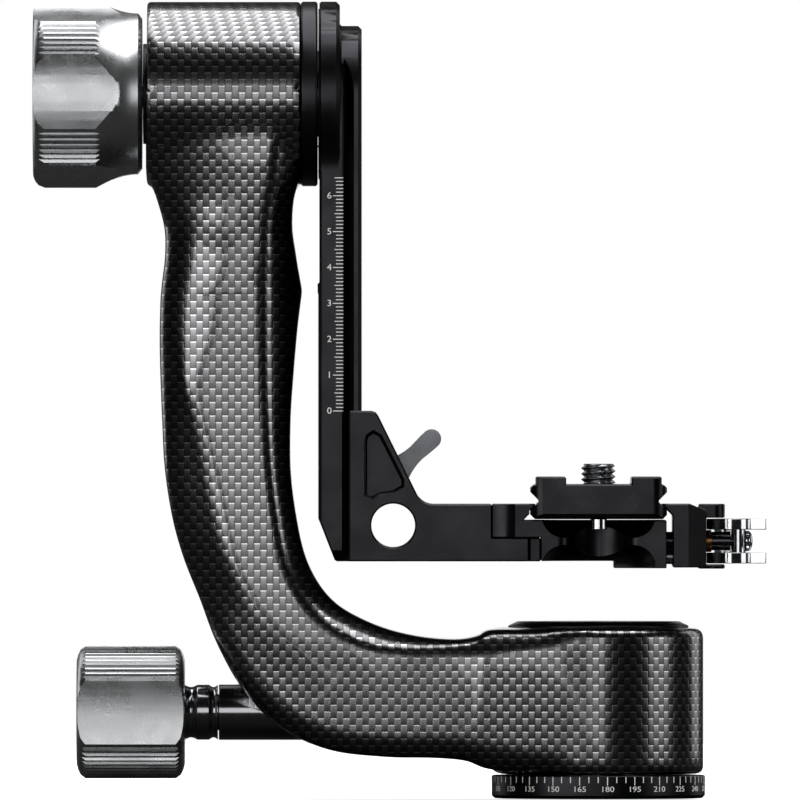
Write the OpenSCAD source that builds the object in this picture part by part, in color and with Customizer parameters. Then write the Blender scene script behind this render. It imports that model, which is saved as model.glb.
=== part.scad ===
// Gimbal tripod head: sculpted arm on a panning base, swing arm with a dovetail rail,
// sliding cradle with a lever clamp, camera plate, and two lock knobs.
// Millimetres. X runs along the tilt axis, Y towards the back, Z up.
// The origin lies on the pan axis in the foot's bottom face.

/* [Axes] */
// Height of the tilt axis above the foot
tilt_z = 196.7; // [190:0.5:205]
// Height of the pan lock screw
pan_lock_z = 24; // [22:0.5:26]

/* [Base] */
// Radius of the degree ring
base_r = 29.8; // [29.4:0.1:31.5]
// Step from the degree ring in to the pan hub
base_step = 0.5; // [0.3:0.1:1.4]
// Height of the degree ring
base_h = 6.5; // [6:0.1:8]
// Chamfer on the foot's lower edge
base_chamfer = 0.8; // [0.2:0.1:1.5]
// Wall radius of the 3/8 inch tripod thread
tripod_thread_r = 3.97; // [3.9:0.01:4.1]
// Depth of the tripod thread
tripod_thread_depth = 14; // [10:0.5:15]

/* [Hubs] */
// Gap between the degree ring and the pan hub
pan_gap = 0.3; // [0.3:0.1:0.8]
// Height of the pan hub
pan_hub_h = 40.8; // [40.2:0.1:44]
// Radius of the tilt hub
tilt_hub_r = 25.7; // [24.5:0.1:27]
// Left end of the tilt hub
tilt_hub_left = -126; // [-128:0.1:-125.5]
// Right end of the tilt hub
tilt_hub_right = -83.1; // [-83.6:0.1:-82.6]

/* [Bearings] */
// Bearing bore radius
race_in_r = 10; // [9.5:0.1:10.5]
// Bearing outer radius
race_out_r = 16; // [15.5:0.1:17]
// Bearing width
race_w = 7; // [6.5:0.1:7.5]
// Ball radius
ball_r = 1.7; // [1.5:0.05:1.9]
// Balls in one bearing
ball_count = 12; // [8:1:14]
// Running clearance between balls and races
ball_gap = 0.08; // [0.05:0.01:0.1]

/* [Arm] */
// Half thickness of the arm at the tilt hub
arm_half_top = 24.4; // [23:0.1:25]
// Half thickness of the arm at its waist
arm_half_waist = 20.5; // [19:0.1:23]
// Rings drawn between two stations
arm_rings = 2; // [2:1:3]

/* [Cap] */
// Radius of the pan cap's rim
cap_r = 25.2; // [24:0.1:27]
// Radius of the cap's raised face
cap_face_r = 22.6; // [21:0.1:23.5]
// Height of the cap's rim
cap_rim_h = 0.6; // [0.4:0.1:1.2]
// Height of the cap's bevel
cap_bevel_h = 1.2; // [0.8:0.1:2]
// Wall radius of the 1/4 inch accessory thread
accessory_r = 2.55; // [2.5:0.01:2.7]

/* [Tilt flange] */
// Radius of the flange and of the swing arm's disc
flange_r = 25.8; // [24.5:0.1:27]
// Thickness of the fixed flange
flange_t = 4.7; // [4:0.1:5]
// Gap between the fixed flange and the swing arm's disc
disc_gap = 0.5; // [0.4:0.05:0.6]

/* [Swing arm] */
// Thickness of the disc at the tilt axis
disc_t = 5.7; // [5:0.1:6]
// Thickness of the scale plate
rail_t = 7; // [6.4:0.1:7.4]
// Half width of the dovetail
dovetail_half = 19; // [18.8:0.05:19.1]
// Half width of the dovetail's neck
neck_half = 16.2; // [15.8:0.1:16.6]
// Flat land on the dovetail's edge
dovetail_land = 2.1; // [1.6:0.1:2.3]
// Depth of the neck before the dovetail widens
neck_t = 0.2; // [0.1:0.1:0.4]
// Chamfer on the dovetail's outer edges
dovetail_chamfer = 1; // [0.4:0.1:1.4]
// Bottom of the rail
rail_bottom = 66.2; // [65:0.1:70]
// Edge bevel on the scale plate
rail_bevel = 1; // [0.5:0.1:1.4]

/* [Tilt knob] */
// Grip radius of the tilt knob
tknob_r = 26.3; // [25.8:0.1:27]
// Collar radius of the tilt knob
tknob_collar_r = 22.5; // [21.5:0.1:23]
// Length of the tilt knob
tknob_len = 30.45; // [29:0.1:32]
// Distance of the grip flats from the axis
tknob_flat = 24.35; // [23.8:0.05:24.8]
// Depth of the dish in the flats
tknob_dish = 1; // [0.4:0.1:1.2]
// Grip ridges between two flats
tknob_ridges = 7; // [5:1:9]

/* [Pan knob] */
// Grip radius of the pan knob
pknob_r = 18.5; // [18:0.1:20]
// Length of the pan knob
pknob_len = 30.2; // [28:0.1:32]
// Left end of the pan knob
pknob_left = -145.7; // [-148:0.1:-144]
// Distance of the grip flats from the axis
pknob_flat = 16.25; // [15.8:0.05:17]
// Depth of the dish in the flats
pknob_dish = 0.5; // [0.2:0.1:0.8]
// Grip ridges between two flats
pknob_ridges = 12; // [8:1:14]
// Depth of the grip grooves on both knobs
ridge_depth = 0.7; // [0.4:0.1:0.9]

/* [Pan lock] */
// Radius of the sleeve
sleeve_r = 7.75; // [7.5:0.05:8]
// Radius of the lock screw
lock_screw_r = 5; // [4.6:0.1:5.2]
// Radius of the push rod
push_rod_r = 3; // [2.5:0.1:3.2]
// Radius of the brake shoe
shoe_r = 5; // [4.5:0.1:5.2]

/* [Cradle] */
// Half width of the bracket
bracket_half = 21.5; // [21.2:0.1:22.5]
// Height of the bracket's upright
bracket_h = 42; // [40:0.5:46]
// Thickness of the beam
beam_t = 16; // [15:0.1:16.5]
// Radius of the lightening hole
hole_r = 6.1; // [5:0.1:6.4]
// Depth of the triangular pocket
pocket_depth = 4; // [2:0.5:6]
// Clearance between the rail and the cradle
slide_gap = 0.2; // [0.15:0.01:0.25]

/* [Camera clamp] */
// Half length of the clamp
clamp_half = 25; // [24:0.5:27]
// Floor of the clamp above the foot
clamp_floor_z = 77.7; // [77.4:0.1:77.8]
// Radius of the groove down the clamp's end
scoop_r = 8.2; // [7.6:0.1:8.4]
// Radius of the groove's rounded shoulders
shoulder_r = 3.2; // [2.4:0.1:3.4]
// Mouth radius of the end scoop
scoop_mouth_r = 16.2; // [15.4:0.1:16.4]
// Radius of the scoop's rounded run into its mouths
scoop_run_r = 6; // [5:0.25:6.25]
// Height of the draw bolt
bolt_z = 71.8; // [71.4:0.1:72.2]
// Radius of the draw bolt
bolt_r = 2.6; // [2.3:0.05:2.8]

/* [Clamp lever] */
// Radius of the cam
cam_r = 6.6; // [6.3:0.1:6.7]
// Offset of the cam's centre from the pin
cam_offset = 2.4; // [2.2:0.1:2.5]
// Radius of the barrel pin
barrel_r = 2; // [1.8:0.05:2.1]
// Thickness of the lever's bar
lever_t = 4.7; // [4:0.1:4.8]
// Height of the lever
lever_h = 12.5; // [12:0.1:12.6]
// Height of the slot between the lever's prongs
prong_gap = 6.4; // [6.2:0.1:7]

/* [Rail clamp lever] */
// Radius of the lever's hub
hlever_hub_r = 6.2; // [5.6:0.1:6.2]
// Length from the hub's centre to the tip's centre
hlever_len = 17.6; // [16:0.1:20]
// Radius of the tip
hlever_tip_r = 2.7; // [2.4:0.1:3]
// Angle of the blade above the horizontal at rest
hlever_angle = 42.7; // [38:0.1:46]

/* [Camera plate] */
// Length of the plate
plate_len = 60; // [58:0.5:66]
// Half width of the plate's dovetail
plate_half = 19; // [18.9:0.05:19.05]
// Half width of the plate's upper block
block_half = 17.5; // [17:0.1:17.8]
// Bevel under the plate's ends
plate_bevel = 1.5; // [0.5:0.1:2]
// Height of the anti-twist lips
lip_h = 2.1; // [1.5:0.1:3]
// Half width between the anti-twist lips
lip_gap_half = 9.1; // [8.5:0.1:11]
// Radius of the camera screw
camera_screw_r = 4.76; // [4.7:0.01:4.8]
// Height of the camera screw above the plate
camera_screw_h = 5.7; // [5:0.1:7]
// Radius of the camera screw's shank in the plate
shank_r = 4.1; // [3.6:0.1:4.3]
// Distance of the stop screws from the plate's middle
stop_y = 27; // [26:0.25:27.5]

/* [Hidden] */
$fn = 64;

// Clearances
run_gap = 0.05;
face_gap = 0.25;
over = 1;

// Base and spindle
insert_r = 7;
spigot_r = 9.5;
spindle_flange_r = 15.5;
spindle_flange_t = 2.2;
race_land_h = 0.6;
race_land_r = 11.4;
brake_collar_r = 12.6;
pan_race_z = base_h + spindle_flange_t + race_land_h;
pan_race_gap = 14.7;
pan_race_top = pan_race_z + 2 * race_w + pan_race_gap;
spindle_nut_t = 4;
spindle_thread_r = 7.5;
base_screw_circle = 12.6;
base_screw_r = 1.5;
base_screw_head_r = 2.9;
base_screw_count = 4;
rib_r = 14.2;
underside_r = 17;
cap_pocket_r = 22.6;
cap_spigot_h = 3.4;

// Hubs
pan_hub_r = base_r - base_step;
hub_bottom = base_h + pan_gap;
hub_top = hub_bottom + pan_hub_h;
hub_round_top = 1.7;
hub_round_bottom = 1.2;
tilt_chamfer = 0.6;
tilt_lip_t = 3;
tilt_lip_r = 12.5;
tilt_left_race = tilt_hub_left + tilt_lip_t;
tilt_right_race = tilt_hub_right - 0.9 - race_w;
race_mid_r = (race_in_r + race_out_r) / 2;
race_shoulder = 1.2;

// Flange and disc planes along the tilt axis
flange_right = tilt_hub_right + flange_t;
disc_left = flange_right + disc_gap;
rail_left = disc_left - 0.3;
rail_taper = 4.6;
rail_taper_h = 12;
foot_bevel = 2.4;
foot_bevel_h = 3.1;
rail_right = rail_left + rail_t;
disc_right = disc_left + disc_t;
flank_right = rail_right + neck_t + dovetail_half - neck_half;
dovetail_right = flank_right + dovetail_land;
flange_bore_r = 12.3;
shaft_flange_r = 12;
shaft_socket_x = rail_right - 0.8;
flange_screw_circle = flange_r - 5.1;
flange_screw_bite = 9;
flange_screw_r = 1.8;
flange_screw_head_r = 3.4;
flange_screw_count = 4;
shaft_screw_circle = 8.2;
shaft_screw_r = 1.8;
shaft_screw_head_r = 3.4;
shaft_screw_count = 3;
washer_t = 0.3;

// Tilt shaft and knob
thread_r = 4;
thrust_washer_r = 14;
thrust_washer_t = 1.1;
thrust_washer_x = tilt_hub_left - 0.05 - thrust_washer_t;
tknob_right = thrust_washer_x - face_gap;
tknob_left = tknob_right - tknob_len;
tknob_grip_len = 17.5;
tknob_flare_len = 11.4;
tknob_edge = 1.1;
tknob_insert_r = 9;
tknob_insert_len = 21;
ring_nut_r = 11.8;
ring_nut_t = 2.4;

// Pan lock along X
pknob_right = pknob_left + pknob_len;
neck_x = pknob_right;
collar_x = -112;
collar_end = -108.7;
neck_groove = 0.65;
pknob_bore_left = 6;
sleeve_x = -106;
sleeve_len = 26;
lock_screw_end = -84;
push_rod_end = -22;
shoe_len = 8.6;
shoe_face_gap = 0.1;

// Cradle outline
cradle_left = rail_right + 1.5;
cradle_inner = dovetail_right + slide_gap;
bracket_top = rail_bottom + bracket_h;
beam_top = rail_bottom + beam_t;
tongue_end = -19.4;
tongue_t = 6.7;
lip_inset = 3;
shelf_left = -29.7;
step_left = -16.1;
hole_x = -57.3;
hole_z = 76.2;
jaw_split_y = 14.2;
jaw_split_x = -54.5;
jaw_gap = 0.3;
stud_x = -59.5;
stud_z = 88.4;
stud_r = 3;
jaw_pin_x = -63.4;
jaw_pin_low = 69.2;
jaw_pin_high = 102.6;
jaw_pin_r = 1.8;
stop_pin_r = 1.2;
stop_pin_proud = 1.2;
stop_pin_len = 4.2;
stop_pin_z = rail_bottom + 6;
stop_play = 0.3;
slide_travel = 65;
clamp_screw_x = -24.6;
clamp_screw_y = 12;
clamp_screw_r = 2.2;
clamp_screw_head_r = 4;
clamp_screw_head_t = 4;
clamp_screw_len = 13;

// Camera clamp
clamp_right = 18.9;
clamp_low_x = 4.2;
clamp_low_z = 64.3;
jaw_left = 20.7;
jaw_right = 30;
jaw_bottom = 64.5;
jaw_tip_z = beam_top;
flank_gap = 0.2;
scoop_y = clamp_half + 4;
scoop_waist = [70.6, 73];
guide_y = 12.5;
guide_z = 67.4;
guide_r = 2;
guide_left = clamp_right - 9.9;
guide_right = jaw_right - 2;
bolt_left = -9;
bolt_neck_r = 1.3;
pin_x = 39.2;
lever_z = bolt_z - lever_h / 2;
dome_x = pin_x + barrel_r;
dome_len = 1.9;
dome_r = 2.9;
cam_washer_t = 1.6;
cam_washer_r = prong_gap / 2 - 0.1;
ear_top_z = lever_z + lever_h + face_gap;
ear_bottom_z = lever_z - face_gap;
ear_end = 35.3;
ear_round = 3;
ear_half = 5;

// Rail clamp lever's blade
blade_start = 3;
blade_root = 5;
blade_waist = 2.4;
blade_waist_at = 0.62;

// Camera plate
plate_bottom = clamp_floor_z + 0.3;
plate_flank_z = plate_bottom + 2.5;
plate_waist = 2.5;
plate_deck = plate_bottom + 9.7;
plate_corner = 4;
stop_r = 2.25;
stop_h = 2.8;
stop_bore_r = 1.4;
stop_bore_depth = 5;
screw_head_r = 8;
screw_head_t = 2.8;
screw_hole_gap = 0.09;
screw_tip = 0.7;
clip_z = plate_deck - 2.2;
clip_t = 0.8;
clip_groove_r = shank_r - 0.5;

// Small helpers

// Cylinder along X from x0 to x1 on the axis through (y, z)
module x_rod(x0, x1, r, y = 0, z = 0) {
    translate([x0, y, z]) rotate([0, 90, 0]) cylinder(h = x1 - x0, r = r);
}

// Cylinder along Y from y0 to y1 on the axis through (x, z)
module y_rod(y0, y1, r, x, z) {
    translate([x, y1, z]) rotate([90, 0, 0]) cylinder(h = y1 - y0, r = r);
}

// Outline of [x, r] points turned about the X axis at height z
module x_turn(points, z = tilt_z) {
    translate([0, 0, z]) rotate([0, 90, 0])
        rotate_extrude() polygon([for (p = points) [p[1], p[0]]]);
}

// Outline of [x, z] points extruded along Y from y0 to y1
module y_slab(points, y0, y1) {
    translate([0, y1, 0]) rotate([90, 0, 0]) linear_extrude(y1 - y0) polygon(points);
}

// Countersunk screw along +Z with its head's face at z = 0
module csk_screw(r, head_r, len) {
    cylinder(h = len, r = r);
    cylinder(h = head_r - r, r1 = head_r, r2 = r);
}

// Copies on a circle about Z
module ring_of(count, radius, turn = 0) {
    for (i = [0:count - 1])
        rotate([0, 0, turn + i * 360 / count]) translate([radius, 0, 0]) children();
}

// Races and balls of one bearing, along +Z from z = 0

module outer_race() {
    difference() {
        cylinder(h = race_w, r = race_out_r);
        translate([0, 0, -over]) cylinder(h = race_w + 2 * over, r = race_mid_r + race_shoulder);
        ball_track();
    }
}

module inner_race() {
    difference() {
        cylinder(h = race_w, r = race_mid_r - race_shoulder);
        translate([0, 0, -over]) cylinder(h = race_w + 2 * over, r = race_in_r);
        ball_track();
    }
}

module ball_track() {
    translate([0, 0, race_w / 2]) rotate_extrude()
        translate([race_mid_r, 0]) circle(r = ball_r + ball_gap, $fn = 32);
}

module ball_ring() {
    translate([0, 0, race_w / 2]) ring_of(ball_count, race_mid_r) sphere(r = ball_r, $fn = 24);
}

// Places the two pan bearings
module at_pan_races() {
    for (z = [pan_race_z, pan_race_z + race_w + pan_race_gap])
        translate([0, 0, z]) children();
}

// Places the two tilt bearings
module at_tilt_races() {
    for (x = [tilt_left_race, tilt_right_race])
        translate([x, 0, tilt_z]) rotate([0, 90, 0]) children();
}

// Base

module pan_base() {
    color("#1b1b1d") difference() {
        rotate_extrude() polygon([[spigot_r, 0], [base_r - base_chamfer, 0],
            [base_r, base_chamfer], [base_r, base_h - 0.3], [base_r - 0.3, base_h],
            [spigot_r, base_h]]);
        ring_of(base_screw_count, base_screw_circle, 45) base_screw();
    }
}

module base_screw() {
    translate([0, 0, 0.4]) csk_screw(base_screw_r, base_screw_head_r, base_h + spindle_flange_t - 1);
}

module base_screws() {
    color("#2a2a2c") ring_of(base_screw_count, base_screw_circle, 45) difference() {
        base_screw();
        translate([0, 0, -over]) cylinder(h = over + 1.4, r = 1.1, $fn = 6);
    }
}

module pan_spindle() {
    color("#8a8c90") difference() {
        rotate_extrude() polygon([[0, 0], [spigot_r, 0], [spigot_r, base_h],
            [spindle_flange_r, base_h], [spindle_flange_r, base_h + spindle_flange_t],
            [race_land_r, base_h + spindle_flange_t], [race_land_r, pan_race_z],
            [race_in_r, pan_race_z], [race_in_r, pan_race_z + race_w],
            [brake_collar_r - 0.8, pan_race_z + race_w],
            [brake_collar_r - 0.8, pan_race_z + race_w + 0.5],
            [brake_collar_r, pan_race_z + race_w + 0.5],
            [brake_collar_r, pan_race_top - race_w - 0.5],
            [brake_collar_r - 0.8, pan_race_top - race_w - 0.5],
            [brake_collar_r - 0.8, pan_race_top - race_w], [race_in_r, pan_race_top - race_w],
            [race_in_r, pan_race_top], [spindle_thread_r, pan_race_top],
            [spindle_thread_r, pan_race_top + spindle_nut_t + 0.6],
            [0, pan_race_top + spindle_nut_t + 0.6]]);
        translate([0, 0, -over])
            cylinder(h = over + tripod_thread_depth, r = insert_r);
        ring_of(base_screw_count, base_screw_circle, 45) base_screw();
    }
}

module thread_insert() {
    color("#9a9b9e") difference() {
        cylinder(h = tripod_thread_depth, r = insert_r);
        translate([0, 0, -over]) cylinder(h = tripod_thread_depth + 2 * over, r = tripod_thread_r);
    }
}

module pan_inner_races() {
    color("#b8babd") at_pan_races() inner_race();
}

module spindle_nut() {
    color("#6f7175") translate([0, 0, pan_race_top]) difference() {
        intersection() {
            cylinder(h = spindle_nut_t, r = race_land_r);
            cylinder(h = spindle_nut_t, r = race_land_r + 0.6, $fn = 6);
        }
        translate([0, 0, -over]) cylinder(h = spindle_nut_t + 2 * over, r = spindle_thread_r);
    }
}

// Arm

// Stations down the arm from the tilt hub to the pan hub. Each is
// [outer x, outer z, inner x, inner z, edge, outer bevel, inner bevel,
//  half thickness, outer face, outer side, inner side, softness of the outer bevel]
arm_stations = let (t = arm_half_top, w = arm_half_waist, p = pan_hub_r) [
    [-125.6, 193, -83.5, 193, 1.5, 6, 5, t, t - 1, t - 2, t - 3, 4],
    [-125.8, 184, -83.3, 184, 1.5, 9, 6.2, t - 0.3, t - 3, t - 5, t - 7, 6],
    [-125.8, 178, -83.3, 178, 1.5, 10, 7, t - 0.6, t - 5, t - 7.5, t - 8, 8],
    [-125.4, 173, -83.5, 173, 1.6, 10.4, 7.4, t - 1, t - 7, t - 9.5, t - 9, 9],
    [-123.2, 167, -85, 167, 1.8, 9.8, 7, t - 1.5, t - 8.5, t - 11, t - 10, 9],
    [-121.2, 159.2, -85.4, 159.2, 2, 8.8, 7.4, w + 2, w - 6, w - 9, w - 8, 8],
    [-121, 151.7, -84.4, 151.7, 2, 8.6, 8.8, w + 1.4, w - 6, w - 9, w - 9, 8],
    [-121.8, 144.5, -83.2, 144.5, 2, 8.4, 10.4, w + 0.9, w - 6, w - 9, w - 11, 7],
    [-122.1, 141.6, -82.8, 141.6, 2, 8.3, 10.8, w + 0.7, w - 6, w - 9, w - 11.5, 7],
    [-122.3, 138.5, -83.1, 138.5, 2, 8.3, 10.4, w + 0.5, w - 6, w - 9, w - 11, 7],
    [-122.5, 129, -84.2, 129, 2, 8, 9.4, w + 0.2, w - 6, w - 9, w - 9.5, 6],
    [-122.3, 118, -85.1, 118, 2, 7.2, 8.2, w, w - 6, w - 9, w - 8.5, 4],
    [-121.8, 105.6, -85.9, 105.6, 2, 9.8, 6.8, w, w - 6, w - 9, w - 7.5, 1.5],
    [-121.1, 92.2, -85.9, 92.2, 2.2, 12.4, 6, w + 0.2, w - 6.5, w - 9.5, w - 6.5, 1.2],
    [-119, 78.5, -84.5, 80, 2.4, 13, 5.8, w + 0.6, w - 6.5, w - 9.5, w - 6, 1.2],
    [-115.9, 67.4, -82, 68.4, 2.6, 12.4, 6.4, w + 1, w - 6, w - 9, w - 5.5, 1.2],
    [-111.4, 56, -78.1, 60.2, 2.8, 12, 7, w + 1.5, w - 4.5, w - 7.5, w - 5, 1.5],
    [-106.2, 42.6, -73, 54.4, 3.2, 12.6, 7.4, w + 2.2, w - 2, w - 6, w - 4.5, 2.5],
    [-98.4, 29.2, -66.4, 50.4, 3.6, 12.8, 7.6, w + 3, w + 0.5, w - 4.5, w - 3.5, 4],
    [-88, 19.4, -59, 47.4, 4, 12, 7.8, w + 4, w + 2.8, w - 2.5, w - 2.5, 5],
    [-75, 13.6, -51.6, 45.6, 4.2, 11, 7.2, w + 5, w + 4.6, w, w - 1, 5],
    [-60, 11.7, -44.4, 44.7, 4, 10, 6.4, w + 6, w + 5.8, w + 1.5, w + 1, 5],
    [-46, 11.4, -38.6, 44.6, 3.9, 9, 6, p - 2, p - 2.1, p - 6, p - 6.5, 4],
    [-37.2, 10.6, -34, 45.5, 4, 8, 6.2, p - 1.5, p - 1.6, p - 5.5, p - 6.5, 3],
    [-31, 8.4, -30.2, 47.2, 4.6, 7, 6.6, p - 1.2, p - 1.3, p - 5, p - 7, 2],
    [-20, 7.2, -20, 47.3, 3.6, 6, 5.4, p - 1, p - 1.1, p - 5, p - 5.5, 2],
    [-2, 7.2, -2, 47.3, 2.4, 4, 3, p - 1, p - 1.1, p - 4, p - 4, 1.5]
];

// Point between b and c at fraction t of a smooth curve through a, b, c, d
function smooth(a, b, c, d, t) =
    0.5 * (2 * b + (c - a) * t + (2 * a - 5 * b + 4 * c - d) * t ^ 2
    + (3 * b - a - 3 * c + d) * t ^ 3);

// Stations with the in-between rings added
function filled(s, n) = let (m = len(s) - 1) concat(
    [for (i = [0:m - 1]) for (k = [0:n - 1])
        smooth(s[max(i - 1, 0)], s[i], s[i + 1], s[min(i + 2, m)], k / n)],
    [s[m]]);

// Corner c between a and b, rounded over the given reach with n points
function rounded(a, c, b, reach, n) = let (
    la = norm(a - c), lb = norm(b - c),
    p = c + (a - c) * min(reach, 0.45 * la) / la,
    q = c + (b - c) * min(reach, 0.45 * lb) / lb)
    [for (i = [0:n - 1]) let (t = i / (n - 1)) (1 - t) ^ 2 * p + 2 * t * (1 - t) * c + t ^ 2 * q];

// Corners of the near half of a section as [distance from the outer edge, depth]
function section_corners(s, width) = [
    [0, -s[9]], [s[4], -s[8]], [s[5], -s[7]], [width - s[6], -s[7]],
    [width - 0.58 * s[6], -s[7] + 0.3 * (s[7] - s[10])], [width, -s[10]]];

// Near half of a section with its corners rounded
function half_section(s, width) = let (
    c = section_corners(s, width),
    reach = [1, 1.2, s[11], 1.6, 1, 1.2],
    ends = [[0, 0], [width, 0]])
    [for (i = [0:5]) each rounded(i == 0 ? ends[0] : c[i - 1], c[i], i == 5 ? ends[1] : c[i + 1],
        reach[i], i == 2 ? 4 : 2)];

// Closed ring of a section in space
function arm_ring(s) = let (
    o = [s[0], s[1]], v = [s[2], s[3]] - o, width = norm(v), u = v / width,
    near = half_section(s, width),
    far = [for (i = [len(near) - 1:-1:0]) [near[i][0], -near[i][1]]])
    [for (p = concat(near, far)) [o[0] + u[0] * p[0], p[1], o[1] + u[1] * p[0]]];

// Solid skinned over rings with equal point counts
module skin(rings) {
    n = len(rings[0]);
    m = len(rings);
    polyhedron(
        points = [for (r = rings) each r],
        faces = concat(
            [[for (i = [n - 1:-1:0]) i]],
            [[for (i = [0:n - 1]) (m - 1) * n + i]],
            [for (j = [0:m - 2]) for (i = [0:n - 1]) let (k = (i + 1) % n)
                each [[j * n + i, (j + 1) * n + k, (j + 1) * n + i],
                    [j * n + i, j * n + k, (j + 1) * n + k]]]));
}

module tilt_hub() {
    r = tilt_hub_r;
    c = tilt_chamfer;
    x_turn([[tilt_hub_left, 0], [tilt_hub_left, r - c], [tilt_hub_left + c, r],
        [tilt_hub_right - c, r], [tilt_hub_right, r - c], [tilt_hub_right, 0]]);
}

module pan_hub() {
    r = pan_hub_r;
    a = hub_round_bottom;
    b = hub_round_top;
    rotate_extrude() union() {
        translate([0, hub_bottom]) square([r - a, pan_hub_h]);
        translate([0, hub_bottom + a]) square([r, pan_hub_h - a - b]);
        translate([0, hub_bottom]) square([r - b, pan_hub_h]);
        translate([r - a, hub_bottom + a]) circle(r = a);
        translate([r - b, hub_top - b]) circle(r = b);
    }
}

module pan_bores() {
    translate([0, 0, hub_bottom - over])
        cylinder(h = pan_race_z - 0.3 - hub_bottom + over, r = underside_r);
    at_pan_races() translate([0, 0, -0.4]) cylinder(h = race_w + 0.4, r = race_out_r);
    translate([0, 0, hub_bottom]) cylinder(h = pan_hub_h, r = rib_r);
    translate([0, 0, pan_race_top - 0.1]) cylinder(h = hub_top - pan_race_top + over, r = underside_r);
    translate([0, 0, hub_top - cap_spigot_h - 0.2])
        cylinder(h = cap_spigot_h + over, r = cap_pocket_r);
}

module tilt_bores() {
    x_rod(tilt_hub_left - over, tilt_hub_right + over, tilt_lip_r, z = tilt_z);
    x_rod(tilt_left_race, tilt_hub_right + over, race_out_r, z = tilt_z);
    at_flange_screws() csk_screw(flange_screw_r, flange_screw_head_r, flange_t + flange_screw_bite);
}

module lock_bores() {
    x_rod(sleeve_x - over, sleeve_x + sleeve_len, sleeve_r, z = pan_lock_z);
    x_rod(sleeve_x, -rib_r, push_rod_r + 0.2, z = pan_lock_z);
    x_rod(push_rod_end - 4, -rib_r + 2, shoe_r + run_gap, z = pan_lock_z);
}

module main_arm() {
    color("#3a3a3d") difference() {
        union() {
            skin([for (s = filled(arm_stations, arm_rings)) arm_ring(s)]);
            tilt_hub();
            pan_hub();
        }
        pan_bores();
        tilt_bores();
        lock_bores();
    }
}

module pan_cap() {
    z = hub_top;
    color("#141416") difference() {
        rotate_extrude() polygon([[0, z - cap_spigot_h], [cap_pocket_r, z - cap_spigot_h],
            [cap_pocket_r, z], [cap_r, z], [cap_r, z + cap_rim_h],
            [cap_face_r, z + cap_rim_h + cap_bevel_h], [0, z + cap_rim_h + cap_bevel_h]]);
        translate([0, 0, z - cap_spigot_h - over])
            cylinder(h = cap_spigot_h + 8, r = accessory_r);
    }
}

module pan_outer_races() {
    color("#b8babd") at_pan_races() outer_race();
}

module pan_balls() {
    color("#d5d6d8") at_pan_races() ball_ring();
}

module pan_lock_sleeve() {
    color("#26262a") difference() {
        x_rod(sleeve_x, sleeve_x + sleeve_len, sleeve_r, z = pan_lock_z);
        x_rod(sleeve_x - over, sleeve_x + sleeve_len + over, lock_screw_r + run_gap,
            z = pan_lock_z);
    }
}

// Places the flange screws, heads towards +X
module at_flange_screws() {
    translate([flange_right, 0, tilt_z]) rotate([0, -90, 0])
        ring_of(flange_screw_count, flange_screw_circle, 45) children();
}

module tilt_flange() {
    c = 0.5;
    color("#111113") difference() {
        x_turn([[tilt_hub_right - 0.9, flange_bore_r], [tilt_hub_right - 0.9, race_out_r],
            [tilt_hub_right, race_out_r], [tilt_hub_right, flange_r - c],
            [tilt_hub_right + c, flange_r], [flange_right - c, flange_r],
            [flange_right, flange_r - c], [flange_right, flange_bore_r]]);
        at_flange_screws() csk_screw(flange_screw_r, flange_screw_head_r, flange_t + flange_screw_bite);
    }
}

module flange_screws() {
    color("#2a2a2c") at_flange_screws() difference() {
        csk_screw(flange_screw_r, flange_screw_head_r, flange_t + flange_screw_bite);
        translate([0, 0, -over]) cylinder(h = over + 1.6, r = 1.3, $fn = 6);
    }
}

module tilt_outer_races() {
    color("#b8babd") at_tilt_races() outer_race();
}

module tilt_race_spacer() {
    color("#77797d") difference() {
        x_rod(tilt_left_race + race_w, tilt_right_race, race_out_r, z = tilt_z);
        x_rod(tilt_left_race, tilt_right_race + over, rib_r, z = tilt_z);
    }
}

module tilt_balls() {
    color("#d5d6d8") at_tilt_races() ball_ring();
}

// Pan lock

module pan_push_rod() {
    color("#a4a6a9") x_rod(lock_screw_end + face_gap, push_rod_end, push_rod_r, z = pan_lock_z);
}

module pan_brake_shoe() {
    color("#b08a3c") difference() {
        x_rod(push_rod_end, push_rod_end + shoe_len + 4, shoe_r, z = pan_lock_z);
        translate([0, 0, hub_bottom]) cylinder(h = pan_hub_h, r = brake_collar_r + shoe_face_gap);
    }
}

// Points of a rounded groove turned into radius r from x0 to x1
function turned_groove(x0, x1, r, depth) =
    [for (i = [0:6]) [x0 + (x1 - x0) * i / 6, r - depth * sin(180 * i / 6)]];

module pan_lock_screw() {
    r = sleeve_r - 0.05;
    color("#1d1d20") x_turn(concat(
        [[pknob_left + pknob_bore_left, 0], [pknob_left + pknob_bore_left, lock_screw_r],
            [neck_x, lock_screw_r]],
        turned_groove(neck_x, collar_x, r, neck_groove),
        turned_groove(collar_end, sleeve_x - face_gap, r, neck_groove),
        [[sleeve_x - face_gap, lock_screw_r], [lock_screw_end, lock_screw_r],
            [lock_screw_end, 0]]), pan_lock_z);
}

// Outline of a knob's grip: dished flats with ridges between them
function grip_outline(r, flat, dish, flats, ridges) = let (
    half = acos(flat / r), sector = 360 / flats - 2 * half, step = sector / ridges,
    flank = 0.36 * step)
    [for (f = [0:flats - 1]) let (a = f * 360 / flats + half, c = a + sector + half) each concat(
        [r * [cos(a), sin(a)]],
        [for (k = [1:ridges - 1]) let (v = a + k * step) each [
            r * [cos(v - flank), sin(v - flank)],
            (r - ridge_depth) * [cos(v), sin(v)],
            r * [cos(v + flank), sin(v + flank)]]],
        [r * [cos(a + sector), sin(a + sector)]],
        [for (t = [-0.75:0.25:0.75])
            (flat - dish * (1 - t ^ 2)) * [cos(c), sin(c)]
            + r * sin(half) * t * [-sin(c), cos(c)]])];

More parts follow.
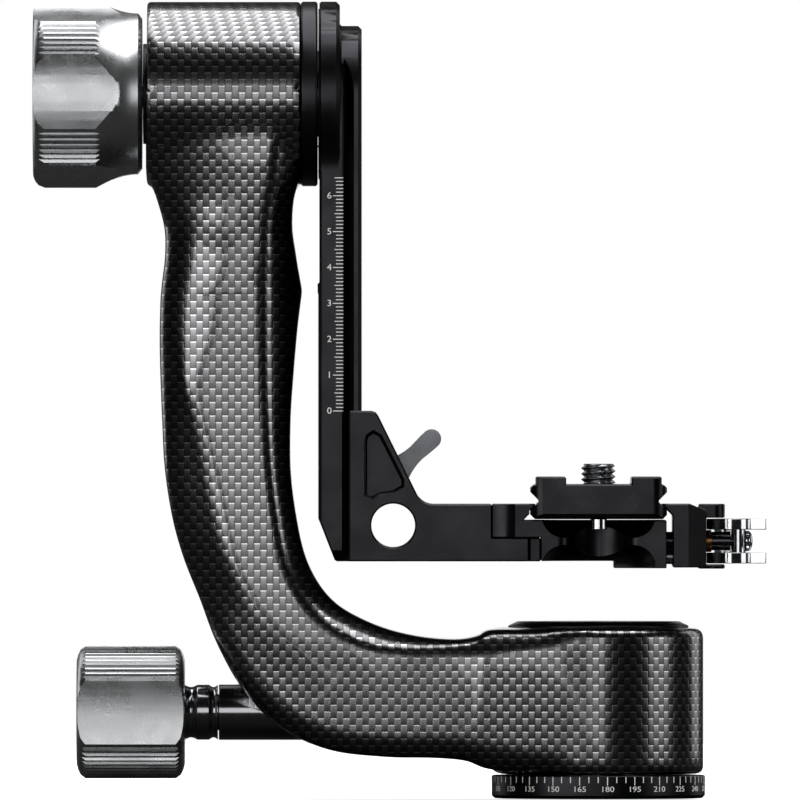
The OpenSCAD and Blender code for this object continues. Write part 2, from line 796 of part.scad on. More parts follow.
// Prism of a grip outline along X, first flat facing -Y
module grip(x0, x1, z, outline) {
    translate([x0, 0, z]) rotate([0, 90, 0]) rotate([0, 0, -90])
        linear_extrude(x1 - x0) polygon(outline);
}

// Rounded end of a knob as [distance from its end face, distance below its rim]
knob_end = [[0, 4], [0.4, 2.4], [1.1, 1], [2.5, 0]];

module pan_knob() {
    r = pknob_r;
    color("#a9acb0") difference() {
        intersection() {
            x_turn(concat([[pknob_left, 0]],
                [for (e = knob_end) [pknob_left + e[0], r - e[1]]],
                [for (i = [3:-1:0]) [pknob_right - knob_end[i][0], r - knob_end[i][1]]],
                [[pknob_right, 0]]), pan_lock_z);
            grip(pknob_left - over, pknob_right + over, pan_lock_z,
                grip_outline(r, pknob_flat, pknob_dish, 3, pknob_ridges));
        }
        x_rod(pknob_left + pknob_bore_left, pknob_right + over, lock_screw_r, z = pan_lock_z);
    }
}

// Swing arm

// Half outline of the dovetail across the rail as [x, half width]
dovetail_profile = [[rail_right - 1, 0], [rail_right - 1, neck_half],
    [rail_right + neck_t, neck_half], [flank_right, dovetail_half],
    [dovetail_right - dovetail_chamfer, dovetail_half],
    [dovetail_right, dovetail_half - dovetail_chamfer], [dovetail_right, 0]];

// Prism of the dovetail from z0 to z1, grown sideways by gap
module dovetail(z0, z1, gap = 0) {
    p = [for (q = dovetail_profile) [q[0], q[1] > 0 ? q[1] + gap : 0]];
    translate([0, 0, z0]) linear_extrude(z1 - z0)
        for (s = [1, -1]) polygon([for (q = p) [q[0] + (q[0] == dovetail_right ? gap : 0), s * q[1]]]);
}

module swing_arm() {
    b = rail_bevel;
    c = dovetail_chamfer;
    h = dovetail_half;
    color("#151517") difference() {
        union() {
            x_turn([[disc_left, 0], [disc_left, flange_r - 0.5], [disc_left + 0.5, flange_r],
                [disc_right - 1, flange_r], [disc_right, flange_r - 1], [disc_right, 0]]);
            intersection() {
                translate([0, 0, rail_bottom]) linear_extrude(tilt_z - rail_bottom)
                    polygon([[rail_left, h - b], [rail_left, b - h], [rail_left + b, -h],
                        [rail_right - 0.4, -h], [rail_right, 0.4 - h], [rail_right, h - 0.4],
                        [rail_right - 0.4, h], [rail_left + b, h]]);
                rail_foot();
            }
            disc_fillets();
            difference() {
                x_turn([[disc_right, 0], [disc_right, h], [dovetail_right - c, h],
                    [dovetail_right, h - c], [dovetail_right, 0]]);
                translate([0, 0, tilt_z - 2 * h]) linear_extrude(4 * h) side_grooves();
            }
            dovetail(rail_bottom, tilt_z);
        }
        y_slab([[rail_left - over, rail_bottom - over], [rail_left + rail_taper, rail_bottom - over],
            [rail_left + rail_taper, rail_bottom + 0.3], [rail_left, rail_bottom + rail_taper_h],
            [rail_left - over, rail_bottom + rail_taper_h]], -h - over, h + over);
        x_turn([[rail_left - 20, flange_r + 30], [rail_left - 20, 0], [disc_left, 0],
            [disc_left, flange_r + 30]]);
        x_rod(rail_left - over, shaft_socket_x, shaft_flange_r, z = tilt_z);
        at_shaft_screws() csk_screw(shaft_screw_r, shaft_screw_head_r, 11);
        stop_slot();
    }
}

// Prism along X whose lower front and back edges are bevelled
module rail_foot() {
    h = dovetail_half;
    translate([rail_left - over, 0, 0]) rotate([90, 0, 90]) linear_extrude(rail_t + 2 * over)
        polygon([[-h, tilt_z], [-h, rail_bottom + foot_bevel_h], [foot_bevel - h, rail_bottom],
            [h - foot_bevel, rail_bottom], [h, rail_bottom + foot_bevel_h], [h, tilt_z]]);
}

// Section of the two grooves beside the dovetail's neck
module side_grooves() {
    for (s = [1, -1]) polygon([[rail_right, s * (dovetail_half + over)],
        [rail_right, s * neck_half], [rail_right + neck_t, s * neck_half],
        [flank_right, s * dovetail_half], [flank_right, s * (dovetail_half + over)]]);
}

// Blind slot in the rail's face that the stop pin runs in
module stop_slot() {
    w = stop_pin_r + stop_play;
    translate([dovetail_right - stop_pin_proud - stop_play, -w, stop_pin_z - w])
        cube([stop_pin_proud + stop_play + over, 2 * w, slide_travel + 2 * w]);
}

// Concave runs from the disc's rim into the plate's edges
module disc_fillets() {
    f = 12;
    w = dovetail_half + f;
    reach = sqrt((flange_r + f) ^ 2 - w ^ 2);
    touch = flange_r / (flange_r + f);
    translate([disc_left, 0, tilt_z]) rotate([90, 0, 90]) linear_extrude(disc_t) difference() {
        polygon([[-dovetail_half, -reach], [dovetail_half, -reach], [w * touch, -reach * touch],
            [-w * touch, -reach * touch]]);
        for (s = [1, -1]) translate([s * w, -reach]) circle(r = f);
    }
}

// Places the screws that hold the shaft to the swing arm, heads towards +X
module at_shaft_screws() {
    translate([dovetail_right, 0, tilt_z]) rotate([0, -90, 0])
        ring_of(shaft_screw_count, shaft_screw_circle, 0) translate([0, 0, 0.2]) children();
}

module shaft_screws() {
    color("#2a2a2c") at_shaft_screws() difference() {
        csk_screw(shaft_screw_r, shaft_screw_head_r, 11);
        translate([0, 0, -over]) cylinder(h = over + 1.8, r = 1.3, $fn = 6);
    }
}

module tilt_shaft() {
    color("#8a8c90") difference() {
        x_turn([[tknob_left + 8, 0], [tknob_left + 8, thread_r], [tilt_left_race, thread_r],
            [tilt_left_race, race_in_r], [tilt_right_race + race_w, race_in_r],
            [tilt_right_race + race_w, shaft_flange_r - 0.6],
            [tilt_right_race + race_w + 0.4, shaft_flange_r - 0.6],
            [tilt_right_race + race_w + 0.4, shaft_flange_r], [shaft_socket_x, shaft_flange_r],
            [shaft_socket_x, 0]]);
        at_shaft_screws() csk_screw(shaft_screw_r, shaft_screw_head_r, 11);
    }
}

module tilt_inner_races() {
    color("#b8babd") at_tilt_races() inner_race();
}

module tilt_race_sleeve() {
    color("#77797d") difference() {
        x_rod(tilt_left_race + race_w, tilt_right_race, race_land_r, z = tilt_z);
        x_rod(tilt_left_race, tilt_right_race + over, race_in_r, z = tilt_z);
    }
}

module shaft_ring_nut() {
    color("#6f7175") difference() {
        x_rod(tilt_left_race - ring_nut_t, tilt_left_race, ring_nut_r, z = tilt_z);
        x_rod(tilt_left_race - ring_nut_t - over, tilt_left_race + over, thread_r, z = tilt_z);
        translate([tilt_left_race - ring_nut_t - over, 0, tilt_z]) rotate([0, 90, 0])
            ring_of(4, 8.6, 45) cylinder(h = over + 1.4, r = 1);
    }
}

module tilt_friction_washer() {
    color("#caa46a") difference() {
        x_rod(disc_left - washer_t, disc_left, flange_r - 2, z = tilt_z);
        x_rod(disc_left - over, disc_left + over, flange_bore_r + 1, z = tilt_z);
    }
}

// Tilt lock

module tilt_thrust_washer() {
    color("#0f0f11") difference() {
        x_rod(thrust_washer_x, thrust_washer_x + thrust_washer_t, thrust_washer_r, z = tilt_z);
        x_rod(thrust_washer_x - over, tilt_hub_left, thread_r + 0.3, z = tilt_z);
    }
}

module tilt_knob() {
    r = tknob_r;
    x = tknob_left;
    color("#a9acb0") difference() {
        intersection() {
            x_turn(concat([[x, 0]],
                [for (e = knob_end) [x + 1.3 * e[0], r - 0.8 * e[1]]],
                [for (i = [0:8]) let (t = i / 8) [x + tknob_grip_len + tknob_flare_len * t,
                    tknob_collar_r + (r - tknob_collar_r) * (1 - t) ^ 1.8]],
                [[tknob_right - tknob_edge, tknob_collar_r],
                    [tknob_right, tknob_collar_r - 1.4 * tknob_edge], [tknob_right, 0]]));
            grip(x - over, tknob_right + over, tilt_z,
                grip_outline(r, tknob_flat, tknob_dish, 5, tknob_ridges));
        }
        x_rod(tknob_right - tknob_insert_len, tknob_right + over, tknob_insert_r, z = tilt_z);
        x_rod(x + 7, tknob_right, thread_r + 0.4, z = tilt_z);
    }
}

module tilt_knob_insert() {
    color("#b08a3c") difference() {
        x_rod(tknob_right - tknob_insert_len, tknob_right, tknob_insert_r, z = tilt_z);
        x_rod(tknob_right - tknob_insert_len - over, tknob_right + over, thread_r + run_gap,
            z = tilt_z);
    }
}

// Cradle

bracket_points = concat(
    [[cradle_left, rail_bottom], [tongue_end, rail_bottom], [tongue_end, rail_bottom + tongue_t],
        [shelf_left, rail_bottom + tongue_t], [shelf_left, beam_top], [-46, beam_top]],
    [for (a = [260:-8:212]) [-46 + 5.4 * cos(a), beam_top + 5.4 + 5.4 * sin(a)]],
    [[-61.4, bracket_top - 1.5], [-62.2, bracket_top - 0.4], [-63.3, bracket_top],
        [cradle_left, bracket_top]]);

pocket_points = [[-65, 84.6], [-63.2, 83.9], [-61, 85], [-57.2, 85.6], [-54.6, 87.2],
    [-54.6, 89], [-60.8, 101.2], [-62.8, 102.4], [-64.6, 101.2], [-65, 99.6]];

module cradle_bracket() {
    color("#18181a") difference() {
        union() {
            y_slab(bracket_points, -bracket_half, bracket_half);
            translate([tongue_end - over, lip_inset - bracket_half, rail_bottom])
                cube([step_left - tongue_end + over, 2 * (bracket_half - lip_inset), tongue_t]);
        }
        dovetail(rail_bottom - over, bracket_top + over, slide_gap);
        translate([cradle_left - over, -dovetail_half, rail_bottom - over])
            cube([rail_right + over + slide_gap - cradle_left, 2 * dovetail_half, bracket_h + 2 * over]);
        translate([cradle_left - over, jaw_split_y - jaw_gap, rail_bottom - over])
            cube([jaw_split_x + jaw_gap - cradle_left + over, bracket_half, bracket_h + 2 * over]);
        y_rod(-bracket_half - over, bracket_half + over, hole_r, hole_x, hole_z);
        y_slab(pocket_points, -bracket_half - over, -bracket_half + pocket_depth);
        y_rod(2, bracket_half, stud_r, stud_x, stud_z);
        for (z = [jaw_pin_low, jaw_pin_high]) y_rod(4, bracket_half, jaw_pin_r, jaw_pin_x, z);
        at_clamp_screws() {
            translate([0, 0, -over])
                cylinder(h = clamp_screw_head_t + over, r = clamp_screw_head_r + 0.1);
            cylinder(h = clamp_screw_len, r = clamp_screw_r);
        }
        stop_pin();
    }
}

module stop_pin() {
    x_rod(dovetail_right - stop_pin_proud, dovetail_right - stop_pin_proud + stop_pin_len, stop_pin_r,
        z = stop_pin_z);
}

module rail_stop_pin() {
    color("#9a9b9e") stop_pin();
}

module rail_jaw() {
    color("#18181a") difference() {
        intersection() {
            y_slab(bracket_points, jaw_split_y, bracket_half);
            translate([cradle_left, jaw_split_y, rail_bottom + 0.3])
                cube([jaw_split_x - cradle_left, bracket_half, bracket_h - 0.6]);
        }
        dovetail(rail_bottom - over, bracket_top + over, slide_gap);
        translate([cradle_left - over, jaw_split_y - over, rail_bottom - over])
            cube([rail_right + over + slide_gap - cradle_left, dovetail_half - jaw_split_y + over,
                bracket_h + 2 * over]);
        y_rod(-bracket_half, bracket_half + over, hole_r + 0.3, hole_x, hole_z);
        y_rod(0, bracket_half + over, stud_r + 0.3, stud_x, stud_z);
        for (z = [jaw_pin_low, jaw_pin_high])
            y_rod(0, bracket_half + over, jaw_pin_r + run_gap, jaw_pin_x, z);
    }
}

module rail_jaw_pins() {
    color("#9a9b9e") for (z = [jaw_pin_low, jaw_pin_high])
        y_rod(4, bracket_half - 0.5, jaw_pin_r, jaw_pin_x, z);
}

module rail_clamp_stud() {
    color("#9a9b9e") y_rod(2, bracket_half + 6, stud_r, stud_x, stud_z);
}

module at_clamp_screws() {
    for (s = [1, -1]) translate([clamp_screw_x, s * clamp_screw_y, rail_bottom + 0.5]) children();
}

module clamp_screw() {
    cylinder(h = clamp_screw_head_t, r = clamp_screw_head_r);
    cylinder(h = clamp_screw_len, r = clamp_screw_r);
}

module clamp_screws() {
    color("#2a2a2c") at_clamp_screws() difference() {
        clamp_screw();
        translate([0, 0, -over]) cylinder(h = over + 2.4, r = 2.3, $fn = 6);
    }
}

clamp_points = [[step_left, rail_bottom + 0.1], [clamp_low_x, rail_bottom + 0.1],
    [clamp_low_x, clamp_low_z], [clamp_right, clamp_low_z], [clamp_right, clamp_floor_z],
    [-plate_half - 2, clamp_floor_z], [-plate_half - 0.35, clamp_floor_z + 1.7],
    [-plate_half - 0.35, plate_flank_z - 0.15],
    [beam_top - plate_flank_z - plate_half - flank_gap * sqrt(2), beam_top],
    [shelf_left, beam_top], [shelf_left, rail_bottom + tongue_t],
    [step_left, rail_bottom + tongue_t]];

module clamp_body() {
    scallop = 7.6;
    color("#18181a") difference() {
        y_slab(clamp_points, -clamp_half, clamp_half);
        for (s = [1, -1]) translate([shelf_left, s * (bracket_half + scallop), rail_bottom + tongue_t - over])
            cylinder(h = beam_t, r = scallop);
        for (s = [1, -1]) end_scoop(s);
        x_rod(bolt_left, clamp_right + over, bolt_r, z = bolt_z);
        at_guide_pins() cylinder(h = 20, r = guide_r);
        at_clamp_screws() cylinder(h = clamp_screw_len, r = clamp_screw_r);
    }
}

// Scoop in an end face of the clamp, on the side s: a groove with rounded shoulders whose
// two mouths widen in a round run
module end_scoop(s) {
    low = clamp_low_z - over;
    high = clamp_floor_z + over;
    middle = scoop_mouth_r - scoop_run_r;
    reach = scoop_r + shoulder_r;
    translate([0, s * (clamp_half - shoulder_r), low]) linear_extrude(high - low) {
        circle(r = scoop_r);
        difference() {
            translate([-reach, s > 0 ? 0 : -shoulder_r - over])
                square([2 * reach, shoulder_r + over]);
            for (i = [1, -1]) translate([i * reach, 0]) circle(r = shoulder_r);
        }
    }
    translate([0, s * scoop_y, 0]) rotate_extrude() {
        translate([0, low]) square([middle, scoop_waist[0] - low]);
        translate([0, low]) square([scoop_mouth_r, scoop_waist[0] - scoop_run_r - low]);
        translate([middle, scoop_waist[0] - scoop_run_r]) circle(r = scoop_run_r);
        translate([0, scoop_waist[1]]) square([middle, high - scoop_waist[1]]);
        translate([middle, scoop_waist[1] + scoop_run_r]) circle(r = scoop_run_r);
    }
}

// Places the guide pins along +X
module at_guide_pins() {
    for (s = [1, -1]) translate([guide_left, s * guide_y, guide_z]) rotate([0, 90, 0]) children();
}

module qr_guide_pins() {
    color("#7d7f83") at_guide_pins() cylinder(h = guide_right - guide_left, r = guide_r);
}

module qr_draw_bolt() {
    color("#3b3c40") x_turn([[bolt_left, 0], [bolt_left, bolt_r], [pin_x - barrel_r - 0.3, bolt_r],
        [pin_x - barrel_r - 0.3, bolt_neck_r], [dome_x + 1, bolt_neck_r], [dome_x + 1, 0]], bolt_z);
}

module qr_barrel_pin() {
    color("#d9dbde") difference() {
        translate([pin_x, 0, lever_z]) cylinder(h = lever_h, r = barrel_r);
        x_rod(pin_x - 5, pin_x + 5, bolt_neck_r, z = bolt_z);
    }
}

module qr_dome_nut() {
    color("#d9dbde") difference() {
        x_turn(concat([[dome_x, 0], [dome_x, dome_r]],
            [for (a = [15:15:90]) [dome_x + 0.5 + (dome_len - 0.5) * sin(a), dome_r * cos(a * 0.94)]],
            [[dome_x + dome_len, 0]]), bolt_z);
        x_rod(dome_x - over, dome_x + 1, bolt_neck_r, z = bolt_z);
    }
}

// Movable jaw of the camera clamp

jaw_points = [[jaw_left, jaw_bottom], [jaw_right, jaw_bottom], [jaw_right, jaw_tip_z - 1.9],
    [25.6, jaw_tip_z], [plate_half + plate_flank_z - jaw_tip_z + flank_gap * sqrt(2), jaw_tip_z],
    [plate_half + 0.35, plate_flank_z - 0.15], [jaw_left, plate_flank_z - 1.6]];

module ear(z0, z1) {
    for (s = [1, -1]) translate([ear_end - ear_round, s * ear_half, z0])
        cylinder(h = z1 - z0, r = ear_round);
    translate([jaw_right - 2, -ear_half - ear_round, z0])
        cube([ear_end - ear_round - jaw_right + 2, 2 * (ear_half + ear_round), z1 - z0]);
    translate([jaw_right - 2, -ear_half, z0])
        cube([ear_end - jaw_right + 2, 2 * ear_half, z1 - z0]);
}

module qr_jaw() {
    color("#18181a") difference() {
        union() {
            intersection() {
                y_slab(jaw_points, -clamp_half, clamp_half);
                translate([0, 0, jaw_bottom - over]) linear_extrude(beam_t + 10)
                    polygon([[0, -clamp_half], [25, -clamp_half], [jaw_right, 5 - clamp_half],
                        [jaw_right, clamp_half - 5], [25, clamp_half], [0, clamp_half]]);
            }
            ear(ear_top_z, jaw_tip_z);
            ear(ear_bottom_z - 1.2, ear_bottom_z);
        }
        x_rod(jaw_left - over, jaw_right + over, bolt_r + face_gap, z = bolt_z);
        for (s = [1, -1])
            x_rod(jaw_left - over, 28.4, guide_r + run_gap, y = s * guide_y, z = guide_z);
    }
}

module qr_cam_washer() {
    color("#c08a3a") difference() {
        x_rod(jaw_right, jaw_right + cam_washer_t, cam_washer_r, z = bolt_z);
        x_rod(jaw_right - over, jaw_right + 3, bolt_r + face_gap, z = bolt_z);
    }
}

// Outline of a bar of half width w along a smooth line through points
function bar_outline(points, w, n = 5) = let (
    line = filled(points, n), m = len(line) - 1,
    side = [for (i = [0:m]) let (d = line[min(i + 1, m)] - line[max(i - 1, 0)])
        [-d[1], d[0]] / norm(d)])
    concat([for (i = [0:m]) line[i] + side[i] * w], [for (i = [m:-1:0]) line[i] - side[i] * w]);

lever_line = [for (p = [[5.25, -3.5], [5.25, 6], [2.8, 14], [-1.8, 21], [-4.2, 30], [-4.6, 41]])
    [pin_x + p[0], p[1]]];
lever_tip = lever_line[5];
lever_root = lever_line[0];

module qr_lever() {
    color("#d9dbde") difference() {
        union() {
            translate([0, 0, lever_z]) linear_extrude(lever_h)
                polygon(bar_outline(lever_line, lever_t / 2));
            translate([pin_x - cam_offset, 0, lever_z]) cylinder(h = lever_h, r = cam_r);
            translate([lever_tip[0], lever_tip[1], lever_z]) cylinder(h = lever_h, r = lever_t / 2);
            translate([pin_x, lever_root[1], lever_z])
                cube([lever_root[0] + lever_t / 2 - pin_x, 9, lever_h]);
        }
        translate([pin_x, 0, lever_z - over]) cylinder(h = lever_h + 2 * over, r = barrel_r + run_gap);
        translate([jaw_right - 4, -12, bolt_z - prong_gap / 2]) cube([30, 32, prong_gap]);
    }
}

// Rail clamp lever

hlever_y = bracket_half + face_gap;

module height_lever() {
    color("#7b7d81") difference() {
        union() {
            y_rod(hlever_y, hlever_y + 8, hlever_hub_r, stud_x, stud_z);
            translate([stud_x, hlever_y + 5.5, stud_z]) rotate([90, -hlever_angle, 0])
                linear_extrude(3.2) hlever_blade();
        }
        y_rod(hlever_y - over, hlever_y + 6.6, stud_r + run_gap, stud_x, stud_z);
        y_rod(hlever_y + 6.5, hlever_y + 9, 4, stud_x, stud_z);
    }
}

// Half width of the lever's blade at the share t of its length
function blade_half(t) = t < blade_waist_at
    ? blade_waist + (blade_root - blade_waist) * (1 - t / blade_waist_at) ^ 2
    : blade_waist + (hlever_tip_r - blade_waist)
        * sin(90 * (t - blade_waist_at) / (1 - blade_waist_at));

// Waisted blade along +X in its own plane
module hlever_blade() {
    n = 10;
    len = hlever_len - blade_start;
    polygon(concat([for (i = [0:n]) [blade_start + len * i / n, blade_half(i / n)]],
        [for (i = [n:-1:0]) [blade_start + len * i / n, -blade_half(i / n)]]));
    translate([hlever_len, 0]) circle(r = hlever_tip_r);
}

module height_lever_cap() {
    color("#2a2a2c") difference() {
        y_rod(hlever_y + 6.5, hlever_y + 8, 4, stud_x, stud_z);
        translate([stud_x, hlever_y + 9, stud_z]) rotate([90, 0, 0]) cylinder(h = 2, r = 1.6, $fn = 6);
    }
}

// Camera plate

plate_profile = let (h = plate_half, z = plate_flank_z, w = plate_waist) [
    [h - 1.2, plate_bottom], [h, plate_bottom + 1.2], [h, z], [h - w, z + w], [h, z + 2 * w],
    [h, z + 2 * w + 1.2], [h - 0.8, z + 2 * w + 2], [block_half, z + 2 * w + 2],
    [block_half, plate_deck + lip_h - 0.3], [block_half - 0.3, plate_deck + lip_h],
    [lip_gap_half, plate_deck + lip_h], [lip_gap_half, plate_deck]];

module camera_plate() {
    half = plate_len / 2;
    c = plate_corner;
    color("#121214") difference() {
        intersection() {
            y_slab(concat(plate_profile, [for (i = [len(plate_profile) - 1:-1:0])
                [-plate_profile[i][0], plate_profile[i][1]]]), -half, half);
            translate([0, 0, plate_bottom - over]) linear_extrude(20) {
                square([2 * plate_half, plate_len - 2 * c], center = true);
                square([2 * (plate_half - c), plate_len], center = true);
                for (i = [1, -1]) for (j = [1, -1])
                    translate([i * (plate_half - c), j * (half - c)]) circle(r = c);
            }
            translate([-plate_half - over, 0, 0]) rotate([90, 0, 90])
                linear_extrude(2 * (plate_half + over)) polygon([
                    [-half, plate_bottom + plate_bevel], [plate_bevel - half, plate_bottom],
                    [half - plate_bevel, plate_bottom], [half, plate_bottom + plate_bevel],
                    [half, plate_deck + 2 * lip_h], [-half, plate_deck + 2 * lip_h]]);
        }
        translate([0, 0, plate_bottom - over])
            cylinder(h = screw_head_t + 0.6 + over, r = screw_head_r + 0.3);
        translate([0, 0, plate_bottom])
            cylinder(h = plate_deck - plate_bottom + over, r = camera_screw_r + screw_hole_gap);
        for (s = [1, -1]) translate([0, s * stop_y, plate_bottom - over])
            cylinder(h = stop_bore_depth + over, r = stop_bore_r);
    }
}

module plate_stop_screws() {
    color("#d9dbde") for (s = [1, -1]) translate([0, s * stop_y, plate_bottom]) difference() {
        union() {
            translate([0, 0, -stop_h]) cylinder(h = stop_h, r = stop_r);
            cylinder(h = stop_bore_depth, r = stop_bore_r);
        }
        translate([0, 0, -stop_h - over]) cylinder(h = over + 1.4, r = 1.1, $fn = 6);
    }
}

module camera_screw() {
    z = plate_bottom + 0.3;
    top = plate_deck + camera_screw_h;
    r = camera_screw_r;
    color("#8f9195") difference() {
        rotate_extrude() polygon([[0, z], [screw_head_r, z], [screw_head_r, z + screw_head_t],
            [shank_r, z + screw_head_t], [shank_r, clip_z - 0.1], [clip_groove_r, clip_z - 0.1],
            [clip_groove_r, clip_z + clip_t + 0.1], [shank_r, clip_z + clip_t + 0.1],
            [shank_r, plate_deck + 0.2], [r, plate_deck + 0.2], [r, top - screw_tip],
            [r - screw_tip, top], [0, top]]);
        translate([-screw_head_r - over, -0.7, z - over])
            cube([2 * (screw_head_r + over), 1.4, over + 1.3]);
        translate([0, 0, top - 3]) cylinder(h = 4, r = 2.3, $fn = 6);
    }
}

module camera_screw_clip() {
    color("#9a9b9e") translate([0, 0, clip_z]) difference() {
        cylinder(h = clip_t, r = camera_screw_r);
        translate([0, 0, -over]) cylinder(h = 3, r = clip_groove_r);
    }
}

pan_base();
pan_spindle();
thread_insert();
base_screws();
pan_inner_races();
spindle_nut();
main_arm();
pan_cap();
pan_outer_races();
pan_balls();
pan_lock_sleeve();
tilt_flange();
flange_screws();
tilt_outer_races();
tilt_race_spacer();
tilt_balls();
pan_push_rod();
pan_brake_shoe();
pan_lock_screw();
pan_knob();
swing_arm();
tilt_shaft();
tilt_inner_races();
tilt_race_sleeve();
shaft_ring_nut();
shaft_screws();
tilt_friction_washer();
rail_stop_pin();
tilt_thrust_washer();
tilt_knob();
tilt_knob_insert();
cradle_bracket();
clamp_body();
clamp_screws();
rail_clamp_stud();
rail_jaw_pins();
qr_draw_bolt();
qr_barrel_pin();
qr_dome_nut();
qr_guide_pins();
rail_jaw();
height_lever();
height_lever_cap();
qr_jaw();
qr_cam_washer();
qr_lever();
camera_plate();
plate_stop_screws();
camera_screw();
camera_screw_clip();
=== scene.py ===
"""Looks of a gimbal tripod head: woven arm, black anodised rail and clamp, silver knobs."""

import logging
import math
from collections.abc import Iterable
from dataclasses import dataclass
from enum import Enum
from itertools import product

import bpy
import numpy as np
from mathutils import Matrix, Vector


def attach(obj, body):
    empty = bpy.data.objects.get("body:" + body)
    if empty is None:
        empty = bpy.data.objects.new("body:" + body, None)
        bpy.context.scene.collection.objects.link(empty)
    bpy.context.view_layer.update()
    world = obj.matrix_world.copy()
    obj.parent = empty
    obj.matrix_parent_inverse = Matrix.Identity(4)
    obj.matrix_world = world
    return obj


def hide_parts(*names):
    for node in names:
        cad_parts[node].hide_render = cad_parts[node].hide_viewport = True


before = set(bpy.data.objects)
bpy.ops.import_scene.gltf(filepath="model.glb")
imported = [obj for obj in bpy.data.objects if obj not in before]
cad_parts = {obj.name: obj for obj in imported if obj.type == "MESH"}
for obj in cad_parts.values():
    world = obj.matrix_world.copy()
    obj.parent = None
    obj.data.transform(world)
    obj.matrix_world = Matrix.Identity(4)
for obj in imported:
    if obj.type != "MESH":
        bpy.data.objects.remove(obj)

LOG = logging.getLogger("gimbal_head")
MM = 0.001
TILT_Z = 196.7
PAN_LOCK_Z = 24.0
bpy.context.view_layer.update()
BOX_FACES = ((0, 1, 3, 2), (4, 6, 7, 5), (0, 4, 5, 1), (2, 3, 7, 6), (0, 2, 6, 4), (1, 5, 7, 3))

Span = tuple[float, float]
Point = tuple[float, float, float]
Face = tuple[int, ...]


# Bench: selecting, meshing and finishing


class Axis(Enum):
    """Axis of a bore or of a lathe's marks."""

    X = "x"
    Z = "z"


@dataclass(frozen=True)
class EdgeWork:
    """How a CAD copy's edges are found and worked, in millimetres and degrees."""

    merge: float = 0.002
    flat: float = 0.4
    square: float = 75.0
    bent: float = 28.0
    crease: float = 50.0
    face_weight: int = 80


EDGES = EdgeWork()


def clear_selection() -> None:
    """Leaves edit mode and deselects everything."""
    if bpy.context.object and bpy.context.object.mode != "OBJECT":
        bpy.ops.object.mode_set(mode="OBJECT")
    bpy.ops.object.select_all(action="DESELECT")


def make_active(piece: bpy.types.Object) -> None:
    """Selects one piece alone.

    Args:
        piece: the object to work on.
    """
    clear_selection()
    piece.select_set(True)
    bpy.context.view_layer.objects.active = piece


def add_modifier(piece: bpy.types.Object, kind: str, **settings: object) -> None:
    """Adds a modifier and applies it at once.

    Args:
        piece: the object to shape.
        kind: Blender's modifier type.
        settings: the modifier's properties.
    """
    make_active(piece)
    modifier = piece.modifiers.new(kind.title(), kind)
    for key, value in settings.items():
        setattr(modifier, key, value)
    bpy.ops.object.modifier_apply(modifier=modifier.name)


def smooth_by_angle(piece: bpy.types.Object, degrees: float) -> None:
    """Shades a piece smooth with creases above an angle.

    Args:
        piece: the object to shade.
        degrees: the crease angle.
    """
    make_active(piece)
    bpy.ops.object.shade_smooth_by_angle(angle=math.radians(degrees), keep_sharp_edges=False)


def face_outwards(piece: bpy.types.Object) -> None:
    """Turns the faces of a closed piece outwards.

    Args:
        piece: the object to mend.
    """
    make_active(piece)
    bpy.ops.object.mode_set(mode="EDIT")
    bpy.ops.mesh.select_all(action="SELECT")
    bpy.ops.mesh.normals_make_consistent(inside=False)
    bpy.ops.object.mode_set(mode="OBJECT")


def add_object(name: str, data: bpy.types.ID) -> bpy.types.Object:
    """Makes an object and puts it in the scene.

    Args:
        name: the object's name.
        data: its mesh, lamp or camera.

    Returns:
        The new object at the origin.
    """
    thing = bpy.data.objects.new(name, data)
    bpy.context.scene.collection.objects.link(thing)
    return thing


def mesh_piece(name: str, points: np.ndarray | list[Point], faces: list[Face]) -> bpy.types.Object:
    """Makes an object from points in millimetres.

    Args:
        name: the object's name.
        points: one row a vertex.
        faces: vertex numbers of each face.

    Returns:
        The new object at the origin.
    """
    mesh = bpy.data.meshes.new(name)
    mesh.from_pydata((np.asarray(points) * MM).tolist(), [], faces)
    mesh.validate()
    return add_object(name, mesh)


def add_box(points: list[Point], faces: list[Face], corners: Iterable[Point]) -> None:
    """Adds a small box to the points and faces of a piece.

    Args:
        points: the piece's points so far.
        faces: its faces so far.
        corners: the box's eight corners, whose last direction changes first.
    """
    base = len(points)
    points += corners
    faces += [tuple(base + k for k in face) for face in BOX_FACES]


def dress(piece: bpy.types.Object, material: bpy.types.Material) -> None:
    """Gives a piece one material all over.

    Args:
        piece: the object to dress.
        material: its finish.
    """
    piece.data.materials.clear()
    piece.data.materials.append(material)


def edged_copy(node: str, width: float, chamfer: float = 0.0) -> bpy.types.Object:
    """Copies a CAD node, merges it, chamfers its square edges and rounds the rest a little.

    Args:
        node: the CAD node's name.
        width: the rounding's width in millimetres.
        chamfer: width of the flat chamfer on square edges, 0 for none.

    Returns:
        The copy, named after the node.
    """
    piece = add_object(f"{node}_shown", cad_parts[node].data.copy())
    make_active(piece)
    bpy.ops.mesh.customdata_custom_splitnormals_clear()
    bpy.ops.object.mode_set(mode="EDIT")
    bpy.ops.mesh.select_all(action="SELECT")
    bpy.ops.mesh.remove_doubles(threshold=EDGES.merge * MM)
    bpy.ops.mesh.dissolve_limited(angle_limit=math.radians(EDGES.flat))
    bpy.ops.mesh.select_all(action="DESELECT")
    bpy.ops.object.mode_set(mode="OBJECT")
    if chamfer:
        square = {"angle_limit": math.radians(EDGES.square), "use_clamp_overlap": False}
        add_modifier(piece, "BEVEL", width=chamfer * MM, segments=1, **square)
    add_modifier(piece, "BEVEL", width=width * MM, segments=2, angle_limit=math.radians(EDGES.bent))
    smooth_by_angle(piece, EDGES.crease)
    add_modifier(piece, "WEIGHTED_NORMAL", mode="FACE_AREA", keep_sharp=True, weight=EDGES.face_weight)
    return piece


# Finishes


